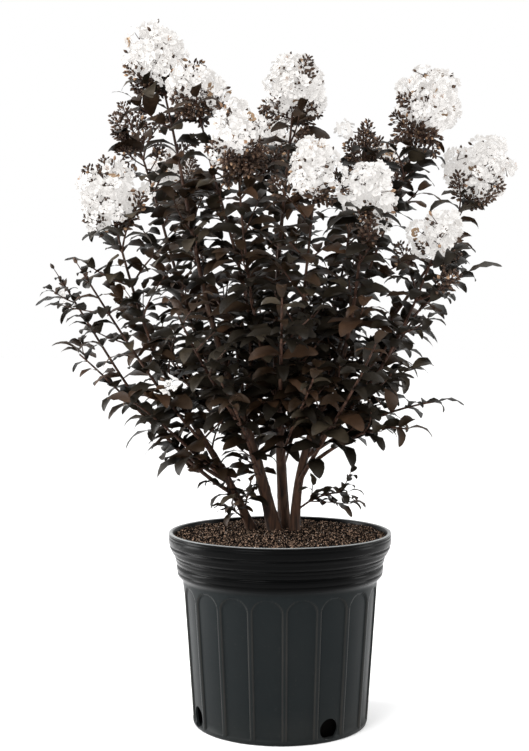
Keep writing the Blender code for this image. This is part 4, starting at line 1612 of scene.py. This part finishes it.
@dataclass
class Crown:
    """Everything that grows on the limbs: leafing shoots, leaves, buds and heads of blossom.

    Its random numbers start afresh for each limb, from the limb's name.
    """

    clump: Clump
    node_spacing: float = 0.0220
    leaf_spacing: float = 0.0205
    leaf_length: float = 0.0500
    leaf_sizes: tuple = (0.78, 1.16)
    leaf_jitter: float = 0.35
    leaf_droop: tuple = (-0.16, 0.12)
    pair_offset: float = 0.0020
    side_shoot_chance: float = 0.64
    side_shoot_lengths: tuple = (0.70, 1.12)
    side_shoot_lift: float = 0.14
    side_shoot_bow: float = 0.06
    side_shoot_points: int = 9
    shortened: float = 0.55
    shoot_spacing: float = 0.010
    bough_overlap: float = 0.002
    stem_shoot_spacing: float = 0.0095
    lowest_leaf: float = 0.330
    hanging_tip: float = 0.355
    # Height where the painted shade of darker leaf tints begins, and how far below it the shade is full
    shade_top: float = 0.50
    shade_depth: float = 0.10
    bud_height: float = 0.68
    bud_chance: float = 0.66
    bud_size: float = 0.0070
    bud_spacing: float = 0.0010
    bud_stalk: tuple = (0.00042, 0.00036)
    cone_axis: tuple = (0.0010, 0.0008, 0.0006)
    tip_cone: float = 0.044
    side_cones: tuple = (0.024, 0.040)
    spray_cones: tuple = (0.024, 0.034)
    cones_a_spray: int = 7
    flower_size: float = 0.0190
    flowers_a_square_metre: float = 10500
    lobe_overlap: float = 0.74
    bud_among_flowers: float = 0.12
    stray_radius: float = 0.0062
    tuft_chance: float = 0.08
    faded_chance: float = 0.022
    leaf_forms: tuple = (
        LeafForm(0.40, 34, 100, 0.10, 0.10, 0.10),
        LeafForm(0.44, 24, 82, -0.12, 0.12, -0.18),
        LeafForm(0.36, 42, 118, 0.24, 0.08, 0.20),
        LeafForm(0.42, 16, 62, 0.06, 0.12, -0.10),
        LeafForm(0.38, 30, 92, 0.30, 0.08, 0.14),
    )
    flower_forms: tuple = (
        FlowerForm(0.50, 0.050, 1),
        FlowerForm(0.20, 0.055, 2),
        FlowerForm(0.75, 0.045, 3),
    )

    def __post_init__(self) -> None:
        """Starts with bare limbs."""
        self.rng = random.Random()
        self.twigs = Twigs()
        self.stalks = Twigs()
        self.leaves = {tint.name: Places() for tint in LEAF_TINTS}
        self.flowers = Places()
        self.faded = Places()
        self.tufts = Places()
        self.dark_buds = Places()
        self.tan_buds = Places()

    def pick_tint(self, place: Vector) -> str:
        """Deals out one spray's colour.

        Args:
            place: where the spray is.

        Returns:
            The name of a tint.
        """
        # Painted shade: towards the crown's foot the darker tints are dealt more often
        low = min(1.0, max(0.0, (self.shade_top - place.z) / self.shade_depth))
        shares = [tint.share + (tint.low_share - tint.share) * low for tint in LEAF_TINTS]
        return self.rng.choices([tint.name for tint in LEAF_TINTS], shares)[0]

    def lowest_here(self, point: Vector) -> float:
        """The height below which nothing grows: the crown's underside rises from its feet outwards."""
        out = (point - ROOT_CENTRE) * LEVEL
        turn = math.atan2(out.y, out.x)
        ragged = 0.016 * math.sin(5 * turn + 1.0) + 0.012 * math.sin(11 * turn + 60 * out.length)
        dip = 0.034 * min(1.0, max(0.0, (out.length - 0.05) / 0.04))
        return self.lowest_leaf + ragged - dip + 0.85 * max(0.0, out.length - 0.080)

    def may_grow(self, leader: Leader, point: Vector) -> bool:
        """Tells whether a leading shoot may reach a point with its side shoots.

        Args:
            leader: the leading shoot.
            point: the point.

        Returns:
            True where the point is in its own space and not below the crown.
        """
        high_enough = leader.tip[2] < self.hanging_tip or point.z > self.lowest_here(point)
        return high_enough and self.clump.in_own_space(leader.name, point)

    def add_leaf(self, root: Vector, direction: Vector, tint: str, scale: float) -> None:
        """Adds one leaf, its upper face up and away from the middle of the clump.

        Args:
            root: where it leaves its shoot.
            direction: where it points.
            tint: the name of its spray's colour.
            scale: its length as a share of a full leaf's.
        """
        away = ((root - ROOT_CENTRE) * LEVEL).normalized()
        jitter = [self.rng.uniform(-self.leaf_jitter, self.leaf_jitter) for _ in range(3)]
        face = UP + away * LEAF_TILT + Vector(jitter)
        size = self.leaf_length * scale * self.rng.uniform(*self.leaf_sizes)
        self.leaves[tint].add(root, direction, face, size, self.rng.randrange(len(self.leaf_forms)))

    def leaf_pair(self, path: Path, share: float, turn: float, tint: str, scale: float) -> None:
        """Adds two leaves on opposite sides of a shoot.

        Args:
            path: the shoot's line.
            share: how far along it they are.
            turn: the angle about the shoot from level.
            tint: the name of the spray's colour.
            scale: their length as a share of a full leaf's.
        """
        along = path.along(share)
        sideways = level_side(along)
        across = along.cross(sideways)
        for sign in (1, -1):
            root = path.at(share + sign * self.pair_offset / path.length)
            out = around(sideways, across, turn + self.rng.uniform(-0.35, 0.35)) * sign
            direction = around(along, out, LEAF_LEAN + self.rng.uniform(-0.25, 0.25))
            direction = direction * LEAF_LEVELLING + UP * self.rng.uniform(*self.leaf_droop)
            self.add_leaf(root, direction, tint, scale)

    def side_shoot(self, start: Vector, direction: Vector, length: float, ending: Ending,
                   vigour: float) -> None:
        """Adds one leafy side shoot.

        Args:
            start: where it leaves.
            direction: where it sets out.
            length: its length.
            ending: what it bears at its tip.
            vigour: the size of its leaves as a share of full ones.
        """
        tip = self.tip_of(start, direction, length)
        path = Path(bowed(start, tip, self.side_shoot_bow * length, self.side_shoot_points))
        points = path.between(0.0, 1.0, self.shoot_spacing)
        foot = SIDE_SHOOT_RADIUS * vigour
        self.twigs.add(points, [foot * (1 - 0.5 * index / len(points)) for index in range(len(points))])
        tint = self.pick_tint(start)
        pairs = max(1, round(length / self.leaf_spacing))
        for index in range(pairs):
            share = (index + 0.75) / (pairs + 0.25)
            turn = math.radians(38 * (index % 2) + self.rng.uniform(-14, 14))
            scale = vigour * (1.04 - 0.34 * abs(2 * share - 0.8))
            self.leaf_pair(path, share, turn, tint, scale)
        if ending == BUDS:
            self.bud_cluster(path.at(1.0), path.along(1.0), self.rng.uniform(*self.side_cones))
        else:
            self.add_leaf(path.at(1.0), path.along(1.0) * Vector((1, 1, 0.5)), tint, vigour * 0.72)

    def tip_of(self, start: Vector, direction: Vector, length: float) -> Vector:
        """Where a side shoot ends, lifted a little above the line that it sets out on."""
        return start + direction * length + UP * (self.side_shoot_lift * length)

    def clothe(self, leader: Leader) -> None:
        """Grows one leading shoot: its line, side shoots and leaves, and what it bears at its tip.

        Args:
            leader: the shoot.
        """
        self.rng = random.Random(leader.name)
        path = self.clump.leader_paths[leader.name]
        self.leading_line(leader, path)
        first = BARE_FOOT * leader.vigour**2.5 / path.length if leader.leaves_at < 1.0 else 0.02
        last = 1.0
        if leader.ending == BLOOM:
            last -= 0.92 * leader.bloom * BLOOM_ASPECT / path.length
            self.bloom(leader, path)
        elif leader.ending == BUDS and leader.bare > 0:
            last -= 0.030 / path.length
            self.bud_cluster(path.at(last), path.along(1.0), self.tip_cone)
            self.bud_spray(path, last)
        elif leader.ending == BUDS:
            self.lone_bud(path)
        else:
            tint = self.pick_tint(path.at(1.0))
            self.add_leaf(path.at(1.0), path.along(1.0) * Vector((1, 1, 0.6)), tint, leader.vigour * 0.8)
        nodes = max(2, round((last - first) * path.length / self.node_spacing))
        turn = self.rng.uniform(0, math.pi)
        for index in range(nodes):
            height = index / nodes
            share = first + (last - first) * (index + 0.4) / nodes
            turn += math.radians(90 + self.rng.uniform(-25, 25))
            tint = self.pick_tint(path.at(share))
            if index % 2 == 0:
                self.shoot_pair(leader, path, share, turn, height)
            if self.may_grow(leader, path.at(share) + UP * 0.015):
                size = leader.vigour * (1.06 - (0.24 if leader.bare > 0 else 0.55 * height) * height)
                self.leaf_pair(path, share, turn + math.pi / 2, tint, size)

    def shoot_pair(self, leader: Leader, path: Path, share: float, turn: float, height: float) -> None:
        """Adds a side shoot on each side of a leading shoot, shorter or none where its space is narrow.

        Args:
            leader: the leading shoot.
            path: its line.
            share: how far along it they leave.
            turn: the angle about it from level.
            height: how far up its leafy stretch they are, from 0 to 1.
        """
        start = path.at(share)
        along = path.along(share)
        sideways = level_side(along)
        across = along.cross(sideways)
        longest = SIDE_SHOOT_LENGTH * (1.0 - 0.45 * height)
        vigour = leader.vigour * (1 if leader.bare > 0 else 1 - 0.35 * height)
        may_bud = height > self.bud_height and leader.ending != LEAVES
        for half_turn in (0, math.pi):
            length = longest * self.rng.uniform(*self.side_shoot_lengths) * leader.vigour
            lean = SIDE_SHOOT_LEAN + self.rng.uniform(-0.2, 0.2)
            budded = may_bud and self.rng.random() < self.bud_chance
            if self.rng.random() > self.side_shoot_chance * leader.branching:
                continue
            ending = BUDS if budded and leader.bare > 0 else LEAVES
            direction = around(along, around(sideways, across, turn + half_turn), lean).normalized()
            for reach in (length, length * self.shortened):
                if self.may_grow(leader, self.tip_of(start, direction, reach)):
                    self.side_shoot(start, direction, reach, ending, vigour)
                    break

    def leading_line(self, leader: Leader, path: Path) -> None:
        """Adds the leading shoot's own line, from where its bough ends."""
        first = max(0.0, leader.bare - self.bough_overlap / path.length)
        points = path.between(first, 1.0, self.shoot_spacing)
        shares = [first + (1 - first) * index / (len(points) - 1) for index in range(len(points))]
        self.twigs.add(points, [self.clump.leader_radius(leader, share) for share in shares])

    def dress_stems(self) -> None:
        """Adds short leafy shoots to the upper parts of the stems, where the crown closes over them."""
        for stem in STEMS:
            self.rng = random.Random(stem.name + "_shoots")
            path = self.clump.stem_paths[stem.name]
            count = round(path.length / self.stem_shoot_spacing)
            for index in range(count):
                start = path.at((index + 0.5) / count)
                low = start.z < self.lowest_leaf
                if start.z < stem.bare_to or index % 2 == 0:
                    continue
                turn = GOLDEN_ANGLE * index
                out = Vector((math.cos(turn), math.sin(turn), self.rng.uniform(0.2, 0.8))).normalized()
                vigour = 0.76 if low else 1.0
                length = SIDE_SHOOT_LENGTH * self.rng.uniform(0.45, 0.85) * vigour
                for reach in (length, length * 0.5):
                    tip = self.tip_of(start, out, reach)
                    if tip.z > self.lowest_here(tip) - (0.020 if low else 0.0):
                        self.side_shoot(start, out, reach, LEAVES, vigour)
                        break

    def bud_cluster(self, foot: Vector, along: Vector, length: float) -> None:
        """Adds a dense cone of buds on short stalks.

        Args:
            foot: where its stalk starts.
            along: where it points.
            length: its length.
        """
        axis = Path([foot, foot + along * (length * 0.5), foot + along * length])
        self.twigs.add(axis.points, self.cone_axis)
        side = along.orthogonal().normalized()
        across = along.cross(side)
        count = round(length / self.bud_spacing)
        for index in range(count):
            share = (index + 0.6) / count
            spread = (0.30 * length * (1 - share) ** 0.6 + 0.0015) * self.rng.uniform(0.35, 1.1)
            out = around(side, across, GOLDEN_ANGLE * index)
            start = axis.at(share * 0.92)
            tip = start + out * spread + along * (spread * self.rng.uniform(0.2, 0.8))
            self.stalks.add([start, tip], self.bud_stalk)
            size = self.bud_size * (1.0 - 0.30 * share) * self.rng.uniform(0.70, 1.20)
            self.add_bud(tip, (out + along * 0.8).normalized(), size, 0.07)

    def bud_spray(self, path: Path, last: float) -> None:
        """Adds smaller cones of buds round a shoot, below the one at its tip.

        Args:
            path: the shoot's line.
            last: the share of its length where the cone at its tip starts.
        """
        along = path.along(last)
        side = along.orthogonal().normalized()
        across = along.cross(side)
        for index in range(self.cones_a_spray):
            foot = path.at(last - (0.006 + 0.010 * index) / path.length)
            out = around(side, across, GOLDEN_ANGLE * index)
            tip = foot + (out + along * 0.8).normalized() * (0.010 + 0.002 * index)
            self.twigs.add([foot, tip], [0.0010, 0.0008])
            length = self.rng.uniform(*self.spray_cones)
            self.bud_cluster(tip, (out * 0.8 + along).normalized(), length)

    def lone_bud(self, path: Path) -> None:
        """Adds round buds on thin stalks, with a few small leaves below them, at the tip of a shoot."""
        along = path.along(1.0)
        out = level_side(along)
        for share, lean in ((1.0, 0.0), (0.965, -0.9), (0.93, 0.8)):
            foot = path.at(share)
            direction = (along + out * lean).normalized()
            tip = foot + direction * self.rng.uniform(0.010, 0.016)
            self.twigs.add([foot, foot.lerp(tip, 0.5), tip], [0.0008, 0.0006, 0.0005])
            self.add_bud(tip, direction, self.bud_size * (1.15 - 0.4 * abs(lean)), 0.0)
        for share in (0.95, 0.99):
            self.leaf_pair(path, share, self.rng.uniform(0, math.pi), "sooty", 0.34)

    def add_bud(self, place: Vector, face: Vector, size: float, tan_share: float) -> None:
        """Adds one bud, a few of them tan.

        Args:
            place: where its neck is.
            face: where it points.
            size: its length.
            tan_share: the chance that it is tan.
        """
        kind = self.tan_buds if self.rng.random() < tan_share else self.dark_buds
        kind.add(place, face.orthogonal(), face, size, 0)

    def bloom(self, leader: Leader, path: Path) -> None:
        """Adds a head of blossom: branchlets round its axis, each with a lobe of flowers or a cone of buds.

        Args:
            leader: the shoot that bears it.
            path: the shoot's line.
        """
        radius = leader.bloom
        along = path.along(1.0)
        centre = path.at(1.0)
        side = along.orthogonal().normalized()
        across = along.cross(side)
        foot = centre - along * (radius * 1.1)
        self.twigs.add([centre, centre + along * (radius * 0.8)], [0.0010, 0.0007])
        lobes = [(centre, radius * 0.52)]
        count = round(10 + radius / 0.004)
        for index in range(count):
            height = 1 - 2 * (index + 0.5) / count
            level = math.sqrt(1 - height * height) * (1 - 0.26 * height)
            turn = GOLDEN_ANGLE * index + self.rng.uniform(-0.4, 0.4)
            out = around(side, across, turn) * level + along * (height * BLOOM_ASPECT)
            reach = radius * self.rng.uniform(0.50, 0.94)
            start = centre + along * (radius * (0.5 * height - 0.35))
            if self.rng.random() < leader.budding * (1.3 - 0.8 * height):
                bud_foot = start.lerp(centre + out * reach, 0.35)
                self.bud_cluster(bud_foot, out.normalized(), radius * 0.95)
                continue
            lobes.append((centre + out * reach, radius * self.rng.uniform(0.20, 0.40)))
            self.stalks.add([start, lobes[-1][0]], [0.0007, 0.0004])
        for number, (middle, reach) in enumerate(lobes):
            self.lobe(middle, reach, lobes[:number] + lobes[number + 1:], centre)
        for index in range(round(3 + leader.budding * 4)):
            out = around(side, across, GOLDEN_ANGLE * index + self.rng.uniform(-0.5, 0.5))
            length = radius * self.rng.uniform(0.85, 1.25)
            self.bud_cluster(foot, (along * self.rng.uniform(0.2, 0.7) + out).normalized(), length)

    def lobe(self, middle: Vector, reach: float, others: list[tuple], centre: Vector) -> None:
        """Covers one lobe of a head with flowers, where it stands out of the other lobes.

        Args:
            middle: the lobe's centre.
            reach: its radius.
            others: centre and radius of the head's other lobes.
            centre: the head's centre.
        """
        count = max(4, round(4 * math.pi * reach * reach * self.flowers_a_square_metre))
        for index in range(count):
            height = 1 - 2 * (index + self.rng.random()) / count
            level = math.sqrt(max(0.0, 1 - height * height))
            turn = GOLDEN_ANGLE * index + self.rng.uniform(-0.4, 0.4)
            out = Vector((math.cos(turn) * level, math.sin(turn) * level, height))
            place = middle + out * reach * self.rng.uniform(0.86, 1.10)
            if any((place - other).length < size * self.lobe_overlap for other, size in others):
                continue
            face = (out + (place - centre).normalized() * 0.5 + UP * 0.15).normalized()
            if self.rng.random() < self.bud_among_flowers:
                place = middle + out * (reach + 0.0010)
                self.stalks.add([middle, place], [0.0005, 0.0004])
                self.add_bud(place, face, self.bud_size * self.rng.uniform(0.75, 1.05), 0.12)
            else:
                self.add_flower(place, face, self.flower_size * self.rng.uniform(0.66, 1.10))

    def add_flower(self, place: Vector, face: Vector, size: float) -> None:
        """Adds one flower, some with a tuft of stamens that shows.

        Args:
            place: its middle.
            face: where it faces.
            size: how far across it is.
        """
        spin = Quaternion(face, self.rng.uniform(0, 2 * math.pi))
        kind = self.faded if self.rng.random() < self.faded_chance else self.flowers
        kind.add(place, spin @ face.orthogonal(), face, size, self.rng.randrange(len(self.flower_forms)))
        if self.rng.random() < self.tuft_chance:
            self.tufts.add(place, face.orthogonal(), face, size * 0.30, 0)

    def stray_blossom(self, place: Vector) -> None:
        """Adds a few flowers on a stalk of their own, from the nearest leading shoot.

        Args:
            place: where they are.
        """
        marks = self.clump.marks.reshape(-1, 3)
        nearest = Vector(marks[np.linalg.norm(marks - np.array(place), axis=1).argmin()])
        self.twigs.add([nearest, nearest.lerp(place, 0.5) - UP * 0.004, place], [0.0009, 0.0007, 0.0005])
        self.lobe(place, self.stray_radius, [], place)

    def grow(self) -> None:
        """Grows everything, limb by limb."""
        for leader in LEADERS + LOW_SHOOTS:
            self.clothe(leader)
        self.dress_stems()
        self.rng = random.Random("strays")
        for place in STRAY_BLOSSOMS:
            self.stray_blossom(Vector(place))

    def build(self) -> None:
        """Grows the crown and makes its pieces."""
        self.grow()
        shoots = self.twigs.lines("shoots")
        browns = (0.066, 0.032, 0.021), (0.028, 0.014, 0.010), (0.110, 0.062, 0.043)
        finish = Bark("bark_shoot", *browns, cells=260).build()
        tree = twig_tree()
        tree.run(shoots, Sides=6, Finish=finish)
        settle(shoots, ["foliage_" + leader.name for leader in LEADERS])
        settle(tree.run(self.stalks.lines("bud_stalks"), Sides=3, Finish=finish), [])
        leaf_forms = forms_of("leaf_forms", self.shapes("leaf_form", self.leaf_forms))
        for tint in LEAF_TINTS:
            self.repeat("leaves_" + tint.name, self.leaves[tint.name], leaf_forms, tint, "foliage")
        flower_forms = forms_of("flower_forms", self.shapes("flower_form", self.flower_forms))
        for number in range(PETAL_PIECES):
            places = self.flowers.part(number, PETAL_PIECES)
            self.repeat(f"petals_{number + 1}", places, flower_forms, Petal(), "blossom")
        faded = Petal("petal_faded", (0.34, 0.235, 0.150), (0.22, 0.145, 0.092), 0.04)
        self.repeat("petals_faded", self.faded, flower_forms, faded, "blossom")
        tufts = forms_of("tuft_forms", [stamen_form("tuft_form")])
        stamens = Grain("stamen_amber", (0.42, 0.20, 0.06), (0.28, 0.13, 0.05))
        self.repeat("stamens", self.tufts, tufts, stamens, "blossom")
        buds = forms_of("bud_forms", [bud_form("bud_form")])
        dark = Grain("bud_dark", (0.026, 0.0150, 0.0098), (0.092, 0.053, 0.033))
        tan = Grain("bud_tan", (0.23, 0.135, 0.080), (0.40, 0.26, 0.16))
        self.repeat("buds_dark", self.dark_buds, buds, dark, "foliage")
        self.repeat("buds_tan", self.tan_buds, buds, tan, "foliage")

    def shapes(self, name: str, forms: tuple) -> list[bpy.types.Object]:
        """The meshes of several leaf or flower forms, numbered."""
        return [form.mesh(f"{name}_{number}") for number, form in enumerate(forms)]

    def repeat(self, name: str, places: Places, forms: bpy.types.Collection, finish: Finish,
               slot: str) -> None:
        """Makes one piece of a form that repeats.

        Args:
            name: the piece's name.
            places: where the forms go.
            forms: the forms.
            finish: their finish.
            slot: the record's material slot; not used.
        """
        piece = repeat_tree().run(places.cloud(name), Forms=forms, Finish=finish.build())
        settle(piece, [])


# Studio


@dataclass(frozen=True)
class Softbox:
    """One soft light: where it hangs, what it faces, its width and height in metres and its watts."""

    name: str
    place: tuple
    aim: tuple
    size: tuple
    power: float

    def hang(self) -> None:
        """Hangs the light."""
        light = bpy.data.lights.new(self.name, "AREA")
        light.shape = "RECTANGLE"
        light.size, light.size_y = self.size
        light.energy = self.power
        lamp = place_in_scene(self.name, light)
        lamp.location = self.place
        aim = Vector(self.aim) - Vector(self.place)
        lamp.rotation_euler = aim.to_track_quat("-Z", "Y").to_euler()


SOFTBOXES = (
    Softbox("key_light", (-1.5, -2.2, 2.3), (0, 0, 0.45), (1.6, 1.6), 62),
    Softbox("left_light", (-2.2, 0.4, 0.9), (0, 0, 0.30), (0.8, 1.8), 78),
    Softbox("right_light", (2.3, 0.3, 0.9), (0, 0, 0.30), (0.7, 1.6), 30),
)


@dataclass
class Studio:
    """A pale floor, soft lights and the camera at the height of the crown's middle."""

    camera_place: tuple = (-0.0193, -1.612, 0.474)
    sensor_width: float = 36.0
    lens: float = 61.9
    lens_shift: float = -0.0473
    floor_size: float = 60.0
    overhead: float = 1.36
    behind: float = 1.00
    in_front: float = 0.66

    def floor(self) -> None:
        """Lays the floor."""
        half = self.floor_size / 2
        points = np.array([(-half, -half, 0), (half, -half, 0), (half, half, 0), (-half, half, 0)])
        floor = add_mesh("studio_floor", points, [(0, 1, 2, 3)], PaleFloor().build())

    def surround(self) -> None:
        """Lights the room from all round, most from above, with plain white behind the object."""
        world = bpy.data.worlds.new("white_room")
        world.use_nodes = True
        world.node_tree.nodes.clear()
        graph = Graph(world.node_tree)
        direction = graph.node("ShaderNodeTexCoord").outputs["Generated"]
        parts = graph.node("ShaderNodeSeparateXYZ", None, {"Vector": direction})
        _, y, z = (Value(graph, socket) for socket in parts.outputs)
        level = self.in_front + graph.between(y, -0.7, 0.4) * (self.behind - self.in_front)
        strength = level + graph.between(z, 0.1, 0.8) * (self.overhead - level)
        room, plain = (graph.node("ShaderNodeBackground", None, {"Color": WHITE, "Strength": shown})
                       for shown in (strength, 1.0))
        seen = graph.node("ShaderNodeLightPath").outputs["Is Camera Ray"]
        both = graph.node("ShaderNodeMixShader", None, {0: seen, 1: room.outputs[0], 2: plain.outputs[0]})
        graph.node("ShaderNodeOutputWorld", None, {"Surface": both.outputs[0]})
        bpy.context.scene.world = world

    def camera(self) -> None:
        """Sets up the camera."""
        lens = bpy.data.cameras.new("camera")
        lens.lens = self.lens
        lens.sensor_width = self.sensor_width
        lens.sensor_fit = "AUTO"
        lens.shift_y = self.lens_shift
        camera = place_in_scene("camera", lens)
        camera.location = self.camera_place
        camera.rotation_euler = (math.pi / 2, 0, 0)
        bpy.context.scene.camera = camera

    def build(self) -> None:
        """Sets up the floor, lights and camera."""
        self.floor()
        self.surround()
        for softbox in SOFTBOXES:
            softbox.hang()
        bpy.context.scene.view_settings.view_transform = "Standard"
        self.camera()


def main() -> None:
    """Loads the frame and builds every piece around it."""
    logging.basicConfig(level=logging.INFO, format="%(message)s")
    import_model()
    Studio().build()
    pot_low, pot_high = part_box("pot")
    soil_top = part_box("soil")[1].z
    Pot(pot_high.z - pot_low.z, pot_high.x).build()
    Soil(soil_top).build()
    clump = Clump(soil_top)
    Limbs(clump).build()
    Crown(clump).build()


if __name__ == "__main__":
    main()
